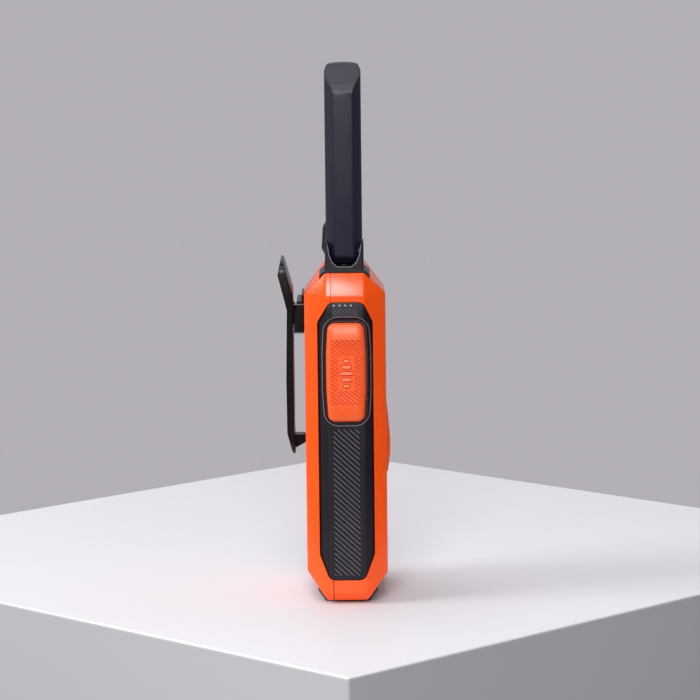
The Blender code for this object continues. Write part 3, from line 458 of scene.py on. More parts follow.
def lofted(axis, solids):
    """Solids as one shape. Each is a list of (place along the axis, outline), all of its outlines with the
    same number of points."""
    bm = bmesh.new()
    turn = axis_frame(axis)
    for rings in solids:
        made = [
            [bm.verts.new(turn @ Vector((u * MM, v * MM, along * MM))) for u, v in outline]
            for along, outline in rings
        ]
        for first, second in zip(made, made[1:]):
            for i in range(len(first)):
                j = (i + 1) % len(first)
                bm.faces.new((first[i], first[j], second[j], second[i]))
        bm.faces.new(made[0][::-1])
        bm.faces.new(made[-1])
    return shape_from(bm)


def prisms(axis, outlines, span):
    """Several separate prisms as one shape."""
    return lofted(axis, [[(along, outline) for along in span] for outline in outlines])


def prism(axis, outline, span):
    return prisms(axis, [outline], span)


def oblong(u, v):
    """A rectangular outline between the given limits."""
    return [(u[0], v[0]), (u[1], v[0]), (u[1], v[1]), (u[0], v[1])]


def about(middle, half):
    """The limits of a stretch that reaches half to both sides of its middle."""
    return (middle - half, middle + half)


def circle(centre, radius, sides=32):
    return [
        (centre[0] + radius * math.cos(2 * math.pi * i / sides),
         centre[1] + radius * math.sin(2 * math.pi * i / sides))
        for i in range(sides)
    ]


def rod(axis, centre, radius, span, sides=32):
    return prism(axis, circle(centre, radius, sides), span)


def rounded(outline, radius, steps=5):
    """Rounds the corners of a closed outline."""
    made = []
    for i, corner in enumerate(outline):
        here = Vector(corner)
        back = (Vector(outline[i - 1]) - here).normalized()
        ahead = (Vector(outline[(i + 1) % len(outline)]) - here).normalized()
        half = back.angle(ahead) / 2
        if half > math.radians(89.0):
            made.append(tuple(here))
            continue
        reach = radius / math.tan(half)
        centre = here + (back + ahead).normalized() * radius / math.sin(half)
        start = here + back * reach - centre
        sweep = start.angle_signed(here + ahead * reach - centre)
        for step in range(steps + 1):
            made.append(tuple(centre + Matrix.Rotation(-sweep * step / steps, 2) @ start))
    return made


def grown(outline, by):
    """Moves every edge of a closed, convex, anticlockwise outline outwards."""
    made = []
    for i, corner in enumerate(outline):
        here = Vector(corner)
        back = (here - Vector(outline[i - 1])).normalized()
        ahead = (Vector(outline[(i + 1) % len(outline)]) - here).normalized()
        out = Vector((back.y + ahead.y, -back.x - ahead.x)).normalized()
        made.append(tuple(here + out * by / max(0.2, out.dot(Vector((ahead.y, -ahead.x))))))
    return made


def turned(centre, profile, sides=48, wobble=None):
    """A solid turned about Z from (radius, height) points that run from one end of the axis to the other.
    wobble changes the radius with the angle."""
    rings = []
    for radius, height in profile:
        outline = []
        for step in range(sides):
            angle = 2 * math.pi * step / sides
            reach = radius + (wobble(height, step) if wobble else 0.0)
            outline.append((centre[0] + reach * math.cos(angle), centre[1] + reach * math.sin(angle)))
        rings.append((height, outline))
    return lofted("Z", [rings])


def faceted(planes, round_by=0.0):
    """A block cut down to the inside of a list of planes, each a normal and its distance from the origin,
    with its edges rounded."""
    bm = bmesh.new()
    bmesh.ops.create_cube(bm, size=1.0)
    for normal, distance in planes:
        out = Vector(normal).normalized()
        bmesh.ops.bisect_plane(
            bm, geom=bm.verts[:] + bm.edges[:] + bm.faces[:], dist=1e-7, plane_co=out * distance * MM,
            plane_no=out, clear_outer=True,
        )
        bmesh.ops.holes_fill(bm, edges=[e for e in bm.edges if e.is_boundary])
    if round_by:
        bmesh.ops.remove_doubles(bm, verts=bm.verts, dist=round_by * 1.4 * MM)
        bmesh.ops.bevel(
            bm, geom=bm.edges[:], offset=round_by * MM, segments=3, profile=0.5, affect="EDGES",
            clamp_overlap=True,
        )
        bmesh.ops.triangulate(bm, faces=[f for f in bm.faces if len(f.verts) > 4])
    return shape_from(bm)


def plane_through(a, b, outward):
    """The plane that holds a and b and runs on along the axis where outward is 0."""
    along = Vector([1.0 if abs(part) < 1e-9 else 0.0 for part in outward])
    out = (Vector(b) - Vector(a)).cross(along).normalized()
    if out.dot(Vector(outward)) < 0:
        out.negate()
    return out, out.dot(Vector(a))


def boolean(target, operation, *others):
    """Cuts, joins or keeps a shape with others, which are used up."""
    for other in others:
        step = target.modifiers.new("step", "BOOLEAN")
        step.operation = operation
        step.object = other
        step.solver = "EXACT"
    return settle(target, others)


def settle(target, used=()):
    """Applies a shape's modifiers and removes what they used."""
    bpy.context.view_layer.update()
    seen = target.evaluated_get(bpy.context.evaluated_depsgraph_get())
    mesh = bpy.data.meshes.new_from_object(seen)
    target.modifiers.clear()
    target.data = mesh
    for other in used:
        bpy.data.objects.remove(other, do_unlink=True)
    return target


def cut(target, *others):
    return boolean(target, "DIFFERENCE", *others)


def join(target, *others):
    return boolean(target, "UNION", *others)


def keep(target, *others):
    return boolean(target, "INTERSECT", *others)


def soften(target, width, segments=2, angle=30.0):
    """Rounds a shape's sharp edges."""
    bevel = target.modifiers.new("soft", "BEVEL")
    bevel.width = width * MM
    bevel.segments = segments
    bevel.limit_method = "ANGLE"
    bevel.angle_limit = math.radians(angle)
    bevel.use_clamp_overlap = True
    return settle(target)


def piece(shape, name, surface, slot, *nodes, body="housing", smooth=32.0):
    """Makes a finished shape a piece of the radio: it rides on a body and stands for CAD nodes."""
    shape.name = name
    shape.data.name = name
    shape.data.materials.clear()
    shape.data.materials.append(surface)
    shape.data.shade_smooth()
    shape.data.set_sharp_from_angle(angle=math.radians(smooth))
    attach(shape, body)
    if nodes:
        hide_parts(*nodes)
    return shape


def clipped(outline, low, high):
    """Cuts an outline of (u, v) points to low <= v <= high."""
    for limit, side in ((low, 1.0), (high, -1.0)):
        made = []
        for i, here in enumerate(outline):
            before = outline[i - 1]
            inside = side * (here[1] - limit) >= 0
            was_inside = side * (before[1] - limit) >= 0
            if inside != was_inside:
                share = (limit - before[1]) / (here[1] - before[1])
                made.append((before[0] + share * (here[0] - before[0]), limit))
            if inside:
                made.append(here)
        outline = made
        if not outline:
            return []
    return outline


def slanted(band, pivot, slope, level, width, limits):
    """The outline of a slanted bar across a band of y, cut to limits of z. Its middle line is at level where
    y is the pivot."""
    corners = ((band[0], -1), (band[1], -1), (band[1], 1), (band[0], 1))
    return clipped([(y, level + (y - pivot) * slope + edge * width / 2) for y, edge in corners], *limits)


# ---- the body's facets


def body_planes(inset, side=None):
    """The planes of the body, moved in by inset, or by side for the sides and the corner facets."""
    side = inset if side is None else side
    planes = [((0, 0, 1), BODY_TOP - inset), ((0, 0, -1), -BODY_BOTTOM - inset)]
    for x in (-1, 1):
        planes.append(((x, 0, 0), HALF_WIDTH - side))
        top = plane_through((x * HALF_WIDTH, 0, SIDE_TOP_Z), (x * SIDE_TOP_X, 0, BODY_TOP), (x, 0, 1))
        foot = plane_through((x * HALF_WIDTH, 0, SIDE_FOOT_Z), (x * SIDE_FOOT_X, 0, BODY_BOTTOM), (x, 0, -1))
        planes += [(top[0], top[1] - inset), (foot[0], foot[1] - inset)]
        for y in (-1, 1):
            corner = plane_through(
                (x * HALF_WIDTH, y * CORNER_Y, 0), (x * CORNER_X, y * HALF_DEPTH, 0), (x, y, 0)
            )
            planes.append((corner[0], corner[1] - side))
    for y in (-1, 1):
        planes.append(((0, y, 0), HALF_DEPTH - inset))
        foot = plane_through(
            (0, y * HALF_DEPTH, FACE_FOOT_Z[y]), (0, y * FACE_FOOT_Y, BODY_BOTTOM), (0, y, -1)
        )
        planes.append((foot[0], foot[1] - inset))
        near, far = face_top(-1, y), face_top(1, y)
        ridge = Vector((SIDE_TOP_X, y * FACE_TOP_Y, BODY_TOP))
        planes.append(plane_of(near, ridge, ridge - Vector((1, 0, 0)), inset))
        planes.append(plane_of(near, far, ridge, inset))
        for x in (-1, 1):
            low = Vector((x * HALF_WIDTH, y * CORNER_Y, SIDE_TOP_Z))
            high = Vector((x * SIDE_TOP_X, y * CORNER_Y, BODY_TOP))
            planes.append(plane_of(low, face_top(x, y), high, inset))
    return planes


def face_top(x, y):
    """The upper corner of the front or the rear face at one side."""
    return Vector((x * CORNER_X, y * HALF_DEPTH, FACE_TOP_Z - FACE_TOP_FALL * (x + 1) * CORNER_X))


def plane_of(a, b, c, inset):
    """The plane through three points, facing up and moved in by inset."""
    out = (b - a).cross(c - a).normalized()
    if out.z < 0:
        out.negate()
    return out, out.dot(a) - inset


def body_block(inset, side=None, round_by=0.0):
    """The body as one solid, moved in by inset, with its edges rounded."""
    return faceted(body_planes(inset, side), round_by)


def side_span(side):
    """The span along X that holds one side of the body."""
    return (-36.0, -16.0) if side < 0 else (16.0, 36.0)


def half_block(front):
    """A block that covers all of one side of the parting plane."""
    made = None
    for seam, z in ((FOOT_SEAM, (-20.0, 44.0)), (SEAM, (43.9, 220.0))):
        y = (-40.0, PARTING_Y - seam) if front else (PARTING_Y + seam, 40.0)
        part = box(ALL_X, y, z)
        made = join(made, part) if made else part
    return made


def ptt_opening(by, span):
    """A block for the button's opening, moved out by by."""
    return prism("X", rounded(grown(PTT_OUTLINE, by), PTT_CORNER + by), span)


def port_opening(by, span):
    """A block for the recess of the socket cover, moved out by by."""
    low, high = corners_mm("port_cover")
    outline = oblong((low.y - by, high.y + by), (low.z - by, high.z + by))
    return prism("X", rounded(outline, PORT_CORNER), span)


# ---- housings


def shell(front):
    """One half of the orange housing, with rounded facets, grip rims and recesses."""
    made = body_block(0.0, round_by=FACET_ROUND)
    for side in (-1, 1):
        rim = body_block(-RIM_PROUD, round_by=FACET_ROUND)
        rim_outline = rounded(grown(GRIP_OUTLINE, GAP + RIM_WIDTH), GRIP_CORNER + 1.0)
        keep(rim, prism("X", rim_outline, side_span(side)))
        join(made, rim)
    if front:
        join(made, control_plateau())
    cut(made, body_block(WALL, SIDE_WALL))
    for side in (-1, 1):
        recess = prism("X", rounded(grown(GRIP_OUTLINE, GAP * 0.5), GRIP_CORNER), side_span(side))
        cut(recess, body_block(GRIP_DEPTH))
        cut(made, recess)
    cut(made, ptt_opening(0.55, (-40.0, -POCKET_X)), box(LEFT_WALL, (-6.2, 5.4), (69.0, 100.0)))
    cut(made, port_opening(GAP, (POCKET_X, 40.0)))
    cut(made, box(RIGHT_WALL, (-3.1, 1.1), (85.5, 95.5)), rod("X", JACK, 2.6, RIGHT_WALL))
    cut(made, cradle_block(GAP * 0.5, 100.0))
    cut(made, rod("Z", KNOB_CENTRE, 6.0 + GAP * 0.5, (100.0, 130.0), 48))
    return keep(made, half_block(front))


def octagon(inner, outer, heights):
    """An eight-sided outline with equal left and right halves: two half widths and four heights."""
    foot, low, high, top = heights
    return [(-inner, foot), (inner, foot), (outer, low), (outer, high), (inner, top), (-inner, top),
            (-outer, high), (-outer, low)]


def control_plateau():
    """The raised block of the front face that carries the keys, thickest below its middle."""
    outline = [(-13.0, 45.0), (0.0, 45.0), (0.0, 70.8), (-14.75, 70.8), (-15.85, 58.7), (-15.85, 53.5),
               (-15.0, 45.8)]
    block = prism("X", outline[::-1], (-19.0, 19.0))
    cheeks = octagon(11.0, 17.0, (44.0, 52.0, 63.5, 72.0))
    keep(block, prism("Y", rounded(cheeks, 1.5), (-20.0, -13.0)))
    return soften(block, 0.35)


def key_outline(name, by=0.0):
    """A key's outline on the front face, moved out by by."""
    (x, z), outline = KEYS[name]
    return rounded(grown([(x + u, z + v) for u, v in outline], by), KEY_CORNER + by, 4)


def window_outline(by):
    return rounded(grown(octagon(13.5, 17.0, (75.0, 79.0, 98.0, 101.5)), by), PANEL_CORNER)


def grille_outline(by):
    return rounded(grown(octagon(10.0, 16.0, (12.6, 20.0, 34.0, 41.0)), by), PANEL_CORNER)


def make_front_shell():
    """The front half of the housing, with its screw bosses and the openings in its face."""
    made = shell(True)
    for place in SCREW_PLACES:
        join(made, rod("Y", place, BOSS_RADIUS, (-13.0, PARTING_Y - GAP / 2), 16))
        cut(made, rod("Y", place, SCREW_HOLE, (-3.0, 20.0), 16))
    cut(made, prism("Y", window_outline(0.2), (-20.0, -13.2)), box((-14.6, 14.6), FRONT_WALL, (78.0, 98.5)))
    cut(made, prism("Y", grille_outline(0.2), (-20.0, -13.4)), rod("Y", SPEAKER, 11.8, FRONT_WALL))
    for name in KEYS:
        cut(made, prism("Y", key_outline(name, 0.22), FRONT_WALL))
    cut(made, rod("Y", MICROPHONE, 0.7, FRONT_WALL, 16), rod("Y", STATUS_LIGHT, 1.35, FRONT_WALL, 24))
    piece(made, "front_shell", ORANGE, "orange", "front_housing")


def make_rear_shell():
    """The rear half of the housing, with the battery bay, the door's seat and the screw ways."""
    made = shell(False)
    join(
        made,
        box(about(0.0, BAY_HALF + BAY_WALL), (BAY_FRONT_Y - BAY_WALL, 13.0),
            (BAY_FOOT - BAY_WALL, BAY_TOP + BAY_WALL)),
        box((-19.8, 19.8), (11.2, 13.0), (10.5, DOOR_HIGH.z + 2.0)),
    )
    cut(made, box(about(0.0, BAY_HALF), (BAY_FRONT_Y, 40.0), (BAY_FOOT, BAY_TOP)))
    door_way = (DOOR_LOW.x - 0.2, DOOR_HIGH.x + 0.2)
    cut(made, box(door_way, (DOOR_LOW.y - GAP, 40.0), (0.0, DOOR_HIGH.z + 0.2)))
    cut(made, box((-5.6, 5.6), (13.2, 40.0), (90.2, 95.9)))
    for place in SCREW_PLACES:
        join(made, rod("Y", place, BOSS_RADIUS, (PARTING_Y + GAP / 2, 13.4), 16))
        cut(made, rod("Y", place, 1.65, (12.9, 30.0), 32), rod("Y", place, SCREW_HOLE, (-3.0, 20.0), 16))
    for place in CLIP_SCREW_PLACES:
        cut(made, rod("Y", place, SCREW_HOLE, (9.0, 30.0), 16))
    piece(made, "rear_shell", ORANGE, "orange", "rear_housing")


# ---- grips


def slant_set(limits, side, pitch, width, span, shift=0.0):
    """Slanted bars between two heights of a side's flat, as one shape; span reaches out from its surface."""
    surface = HALF_WIDTH - GRIP_SUNK
    reach = RIB_SLOPE * (RIB_BAND[1] - RIB_BAND[0])
    bars = []
    z = limits[0] - reach + shift
    while z < limits[1] + reach:
        bars.append(slanted(RIB_BAND, 0.0, RIB_SLOPE, z, width, limits))
        z += pitch
    bars = [bar for bar in bars if len(bar) >= 3]
    return prisms("X", bars, sorted(side * (surface + part) for part in span))


def brim(side, front):
    """The thin raised line around the dished opening for the button."""
    line = prism("X", rounded(grown(PTT_OUTLINE, 1.72), 5.4, 10), side_span(side))
    keep(line, body_block(GRIP_SUNK - 0.15), half_block(front))
    cut(line, prism("X", rounded(grown(PTT_OUTLINE, 1.46), 5.14, 10), side_span(side)))
    cut(line, body_block(GRIP_SUNK + 0.3))
    return line


def make_grip(name, side, front):
    """A rubber inlay with a rounded brim; the front ones carry the slanted ribs."""
    made = prism("X", rounded(GRIP_OUTLINE, GRIP_CORNER), side_span(side))
    keep(made, body_block(GRIP_SUNK, round_by=FACET_ROUND))
    cut(made, body_block(GRIP_DEPTH - 0.15))
    soften(made, 0.3, 3, 40.0)
    if side < 0:
        lip = rounded(grown(PTT_OUTLINE, 1.55), 4.2)
        dish = lofted("X", [[(-30.0, lip), (-27.62, lip), (-27.1, rounded(grown(PTT_OUTLINE, 0.8), 3.6))]])
        cut(made, dish, ptt_opening(0.55, side_span(side)))
        openings = (63.6, 104.2)
    else:
        cut(made, port_opening(GAP, RIGHT_WALL))
        openings = (70.6, 99.4)
    keep(made, half_block(front))
    surface = HALF_WIDTH - GRIP_SUNK
    if front:
        below = (RIB_FOOT, openings[0])
        cut(made, slant_set(below, side, RIB_PITCH, RIB_GROOVE, (-0.5, 1.0)))
        # The crests, the fine ribs and the brim are pale grey: painted highlight lines on the ribs' tops and
        # the lip.
        crests = slant_set(below, side, RIB_PITCH, RIB_CREST, (-0.3, 0.08), RIB_PITCH / 2)
        join(crests, slant_set((openings[1], RIB_TOP), side, FINE_PITCH, FINE_CREST, (-0.2, 0.05)))
        span = sorted((side * 27.0, side * (surface + 0.25)))
        # The pips are pale: painted highlights on their tops.
        pips = [rod("X", (-2.2 + pip * PIP_PITCH, PIP_Z), PIP_RADIUS, span, 12) for pip in range(4)]
        piece(join(*pips), name + "_pips", PIP_HIGHLIGHT, "grip")
        if side < 0:
            join(crests, brim(side, front))
        piece(crests, name + "_crests", PAINTED_HIGHLIGHT, "grip")
    else:
        span = sorted((side * 27.0, side * (surface + 0.18)))
        for step in range(44):
            z = 11.0 + step * DOT_PITCH
            clear = openings[0] - 1.0 < z < openings[1] + 1.0
            if z < 107.0 and not clear:
                join(made, rod("X", (5.75, z), DOT_RADIUS, span, 8))
        if side < 0:
            # The brim is pale grey as a painted highlight on the lip.
            piece(brim(side, front), name + "_brim", PAINTED_HIGHLIGHT, "grip")
    piece(made, name + "_skin", GRIP, "grip", name)


def make_seam():
    """The dark gasket in the open line between the housings, below the button."""
    made = body_block(0.55, round_by=FACET_ROUND)
    line = box(ALL_X, about(PARTING_Y, 0.12), (-5.0, 43.9))
    join(line, box(ALL_X, about(PARTING_Y, 0.045), (43.8, 62.0)))
    keep(made, line)
    cut(made, body_block(GRIP_DEPTH + 0.2))
    piece(made, "seam_gasket", FOOT, "black")


def make_foot():
    """The rubber strip that the radio stands on, with a few grooves across its underside."""
    low, high = corners_mm("bottom_bumper")
    made = body_block(-BODY_BOTTOM, round_by=0.3)
    keep(made, box((low.x, high.x), (-12.0, 11.4), (-2.0, 4.0)))
    cut(made, body_block(-0.1))
    for x in (-15.0, -9.0, -3.0, 3.0, 9.0, 15.0):
        cut(made, box(about(x, 0.5), THROUGH, (-1.0, 0.35)))
    piece(made, "foot_strip", FOOT, "foot", "bottom_bumper")


# ---- push-to-talk button


def drawn_in(outline, by_y, by_z):
    """Draws an outline in towards the middle of the button by two amounts."""
    half_y = max(y for y, z in outline) - PTT_Y
    half_z = max(z for y, z in outline) - PTT_Z
    return [
        (PTT_Y + (y - PTT_Y) * (1.0 - by_y / half_y), PTT_Z + (z - PTT_Z) * (1.0 - by_z / half_z))
        for y, z in outline
    ]


def ptt_dome():
    """The button's cap: its sides turn over a soft edge and its ends slope away from a long flat."""
    edge = rounded(CAP_OUTLINE, PTT_CORNER, 8)
    shoulder = -28.5
    rings = [(-27.5, edge), (shoulder + 0.25, edge)]
    crown = -PTT_TOP_X - 28.75
    for step in range(10):
        angle = math.radians(10.0 * step)
        inward = 1.0 - math.cos(angle)
        ring = drawn_in(edge, 0.25 + 2.6 * inward, 0.25 + 6.6 * inward)
        rings.append((shoulder - crown * math.sin(angle), ring))
    return lofted("X", [rings])


def make_ptt():
    """The push-to-talk button: a shallow finger dish with slanted grooves round five raised bars."""
    cap = ptt_dome()
    dish = [(-33.0, 70.0), (-30.45, 71.2), (-29.95, 74.6), (-29.85, 78.0), (-29.85, 90.6), (-29.95, 94.0),
            (-30.45, 97.4), (-33.0, 98.6)]
    cut(cap, prism("Y", dish, THROUGH))
    levels = [PTT_Z + 0.6 + step * GROOVE_PITCH for step in range(-16, 17)]
    band, limits = about(PTT_Y, 5.6), (72.6, 96.0)
    grooves = [slanted(band, PTT_Y, PTT_SLOPE, level, GROOVE_WIDTH, limits) for level in levels]
    grooves = [bar for bar in grooves if len(bar) >= 3]
    field = oblong(about(PTT_Y, 3.0), (77.6, 90.2))
    cutter = prisms("X", grooves, (-32.0, -29.1))
    cut(cutter, prism("X", rounded(field, 0.8), (-33.0, -28.0)))
    cut(cap, cutter)
    bars = []
    for i, length in enumerate(BAR_LENGTHS):
        bar = oblong(about(PTT_Y, length / 2), about(PTT_Z + (i - 2) * BAR_PITCH, BAR_HALF))
        bars.append(rounded(bar, 0.48, 4))
    cut(cap, prisms("X", [grown(bar, 0.38) for bar in bars], (-32.0, -29.25)))
    mark = prisms("X", bars, (-30.25, -28.5))
    soften(mark, 0.15)
    # The raised bars get the lighter orange as a painted highlight.
    piece(mark, "ptt_mark", ORANGE_MARK_LIT, "orange", body="ptt")
    stem = box((-28.0, -23.8), (-5.8, 5.0), (69.4, 99.6))
    flange = box((-24.2, -23.3), (-6.8, 6.0), (68.2, 97.6))
    join(cap, stem, flange)
    piece(cap, "ptt_cap", ORANGE_BUTTON, "orange", "ptt_button", body="ptt", smooth=28.0)
    # A dark sheet on the pocket floor round the button: painted shade in the gap.
    sheet = prism("X", rounded(grown(PTT_OUTLINE, 0.45), 3.0), (-POCKET_X - 0.22, -POCKET_X - 0.02))
    cut(sheet, box(LEFT_WALL, (-6.1, 5.3), (69.1, 99.9)))
    piece(sheet, "ptt_gap_shade", GAP_SHADE, "grip")


# ---- antenna


def antenna_planes(grow=0.0):
    """The long facets of the antenna and the ones under its foot, moved out by grow."""
    planes = []
    half_x = (ANTENNA_HIGH.x - ANTENNA_LOW.x) / 2
    for x in (-1, 1):
        planes.append(((x, 0, 0), x * ANTENNA_X + half_x + grow))
        for y in (-1, 1):
            corner = plane_through(
                (ANTENNA_X + x * half_x, y * ANTENNA_FLAT, 0),
                (ANTENNA_X + x * (half_x - ANTENNA_FACET), y * ANTENNA_HALF, 0), (x, y, 0),
            )
            planes.append((corner[0], corner[1] + grow))
    for y in (-1, 1):
        planes.append(((0, y, 0), ANTENNA_HALF + grow))
        low = plane_through((0, y * ANTENNA_HALF, 131.6), (0, y * 3.6, ANTENNA_LOW.z), (0, y, -1))
        planes.append((low[0], low[1] + grow))
    for x, edge in ((-1, ANTENNA_LOW.x), (1, ANTENNA_HIGH.x)):
        low = plane_through((edge, 0, 125.2), (edge - x * 3.0, 0, ANTENNA_LOW.z), (x, 0, -1))
        planes.append((low[0], low[1] + grow))
    planes.append(((0, 0, -1), -ANTENNA_LOW.z + grow))
    planes.append(((0, 0, 1), ANTENNA_HIGH.z + grow))
    return planes


def make_antenna():
    """The antenna's rubber cover: a long faceted bar with a broad slanted facet at its domed tip."""
    near, far, top = ANTENNA_LOW.x, ANTENNA_HIGH.x, ANTENNA_HIGH.z
    cover = faceted(antenna_planes(), 0.5)
    tip = [(near - 1.0, 110.0), (far + 1.0, 110.0), (far + 1.0, 188.0), (far, 190.6), (far - 0.7, 192.4),
           (far - 2.2, 193.5), (far - 4.0, 193.8), (near + 6.4, 193.8), (near + 5.3, 193.2)]
    for step in range(13):
        rise = TIP_CURVE * (1.0 - step / 12)
        tip.append((near + rise ** 2 / (2 * TIP_CURVE * TIP_SLOPE), TIP_Z + rise))
    tip += [(near, TIP_Z - 1.0), (near - 1.0, TIP_Z - 1.0)]
    keep(cover, prism("Y", tip, THROUGH))
    crown = [(-ANTENNA_HALF - 1.0, 110.0), (ANTENNA_HALF + 1.0, 110.0)]
    reach = ANTENNA_HALF + 0.02
    for step in range(33):
        y = reach - reach * step / 16
        share = abs(y) / reach
        crown.append((y, top - 0.9 * share ** 2 - 2.2 * max(0.0, (share - 0.74) / 0.26) ** 2.4))
    keep(cover, prism("X", crown, (-40.0, 20.0)))
    centre = (ANTENNA_X, 0.0)
    cut(cover, rod("Z", centre, STUD_HOLE, (110.0, 130.0), 24), rod("Z", centre, 3.9, (129.0, 184.0), 24))
    piece(cover, "antenna_sleeve", SLEEVE, "dark", "antenna_cover", smooth=24.0)


def cradle_outline():
    """The outline of the antenna's base, seen from above."""
    near, far, half = ANTENNA_LOW.x - 1.2, ANTENNA_HIGH.x + 1.0, CRADLE_HALF
    return [(near + 0.8, -half), (far - 3.2, -half), (far, -3.6), (far, 3.6), (far - 3.2, half),
            (near + 0.8, half), (near, half - 0.5), (near, 0.5 - half)]


def cradle_block(grow, bottom):
    """The antenna's base as a solid from a height upwards, moved out by grow."""
    top = high_mm("antenna_base").z
    return prism("Z", rounded(grown(cradle_outline(), grow), 0.45, 3), (bottom, top))


def make_cradle():
    """The antenna's base, open in a U on its near and far sides, with a skirt on the body's top facets."""
    made = cradle_block(0.0, low_mm("antenna_base").z)
    skirt = body_block(-SKIRT_PROUD, round_by=0.3)
    keep(skirt, box((-25.6, ANTENNA_HIGH.x + 1.6), (-SKIRT_HALF, SKIRT_HALF), (115.0, 125.0)))
    cut(skirt, body_block(-0.12))
    join(made, skirt)
    cut(made, faceted(antenna_planes(0.25), 0.4))
    smile = rounded(SMILE, SMILE_CORNER, 8)
    cut(made, prism("X", smile, (-40.0, 20.0)))
    centre = (ANTENNA_X, 0.0)
    cut(made, rod("Z", centre, STUD_HOLE, (90.0, 140.0), 24))
    piece(made, "antenna_cradle", CRADLE, "dark", "antenna_base")
    # A thin pale strip round the near U of the base: painted highlight on its edge.
    rim_span = (ANTENNA_LOW.x - 1.4, ANTENNA_LOW.x - 1.0)
    rim = prism("X", rounded(grown(SMILE, 0.34), 2.2, 8), rim_span)
    cut(rim, prism("X", smile, (-40.0, 20.0)), box(ALL_X, (-40.0, 40.0), (129.4, 150.0)))
    piece(rim, "cradle_rim_highlight", PAINTED_HIGHLIGHT, "dark")
    boot = rod("Z", centre, 3.6, (121.35, 122.1), 32)
    cut(boot, rod("Z", centre, 2.15, (110.0, 130.0), 32))
    piece(boot, "stud_boot", CRADLE, "dark")


# ---- knob


def make_knob():
    """The volume knob: a knurled skirt, a dished top and a pale pointer line."""
    centre, radius = KNOB_CENTRE, KNOB_RADIUS
    foot, top = KNOB_LOW.z, KNOB_HIGH.z

    def knurl(height, step):
        gripped = foot + 2.6 < height < top - 2.0
        return -0.45 if gripped and step % 4 in (0, 1) else 0.0

    profile = [
        (KNOB_BORE, top - 3.0), (KNOB_BORE, foot), (radius - 1.3, foot), (radius - 0.15, foot + 2.3),
        (radius, foot + 2.7), (radius - 0.45, top - 3.0), (radius - 0.7, top - 2.5),
        (radius - 1.9, top - 0.5), (radius - 2.4, top - 0.1), (radius - 2.9, top),
        (radius - 3.5, top - 0.25), (0.6, top - 0.45),
    ]
    piece(turned(centre, profile, 96, knurl), "knob_body", KNOB, "black", "volume_knob", body="volume",
          smooth=40.0)
    length = (centre[1] - radius + 2.6, centre[1] - 1.6)
    pointer = box(about(centre[0], 0.35), length, (top - 0.6, top - 0.12))
    piece(soften(pointer, 0.1), "knob_pointer", PALE, "black", body="volume")
    low, high = corners_mm("knob_collar")
    rings = [(KNOB_BORE, high.z), (KNOB_BORE, low.z), (5.9, low.z), (5.9, high.z - 0.5), (5.4, high.z)]
    collar = turned(centre, rings, 64)
    close_ring(collar)
    piece(collar, "knob_seat", CRADLE, "dark", "knob_collar", smooth=40.0)


def close_ring(shape):
    """Turns a turned shape with two end caps into a ring: drops the caps and bridges its two ends."""
    bm = bmesh.new()
    bm.from_mesh(shape.data)
    caps = [f for f in bm.faces if len(f.verts) > 8]
    bmesh.ops.delete(bm, geom=caps, context="FACES_ONLY")
    bmesh.ops.bridge_loops(bm, edges=[e for e in bm.edges if e.is_boundary])
    bmesh.ops.recalc_face_normals(bm, faces=bm.faces)
    bm.to_mesh(shape.data)
    bm.free()


# ---- belt clip


def make_clip():
    """The glossy belt clip: a sprung plate with a press tab, a belt pad and a hooked tooth."""
    left, right = CLIP_LOW.x, CLIP_HIGH.x
    knee, lip = (20.9, 104.9), (24.1, 117.6)
    profile = [
        (18.4, 52.2), (19.3, 52.2), (21.3, 60.2), (21.4, 80.0), knee, lip, (23.1, 122.6), (22.2, 122.4),
        (18.85, 110.6), (18.85, 60.6),
    ]
    made = prism("X", profile, (left, right))
    keep(made, prism("Y", rounded(oblong((left, right), (52.0, 123.2)), 5.0, 8), BACK_SIDE))
    soften(made, 0.3, 3, 14.0)
    panel = [(21.05, 66.0), (30.0, 66.0), (30.0, 100.0), (20.7, 100.0)]
    cut(made, prism("X", panel, (left + 3.0, right - 3.0)))
    for step in range(4):
        z = 108.8 + step * 2.4
        y = knee[0] + (z - knee[1]) * (lip[0] - knee[0]) / (lip[1] - knee[1])
        cut(made, rod("X", (y + 0.1, z), 0.45, (left + 2.4, right - 2.4), 16))
    tooth = [(14.8, 55.3), (18.3, 53.4), (19.4, 53.4), (19.4, 58.2), (15.2, 58.2), (14.8, 57.8)]
    join(made, prism("X", tooth, (-3.0, 3.0)), box((-11.0, 11.0), (18.75, 19.4), (63.0, 95.0)))
    lug = [(19.6, 98.6)]
    for step in range(13):
        angle = math.radians(-20.0 - 200.0 * step / 12)
        lug.append((PIN[0] + LUG_NOSE * math.sin(angle), PIN[1] - LUG_NOSE * math.cos(angle)))
    lug.append((19.6, 107.4))
    for x in LUG_XS:
        join(made, prism("X", lug[::-1], about(x, 0.85)))
    cut(made, rod("X", PIN, PIN_HOLE, THROUGH, 24))
    piece(made, "clip_plate", BLACK, "black", "belt_clip", body="clip")


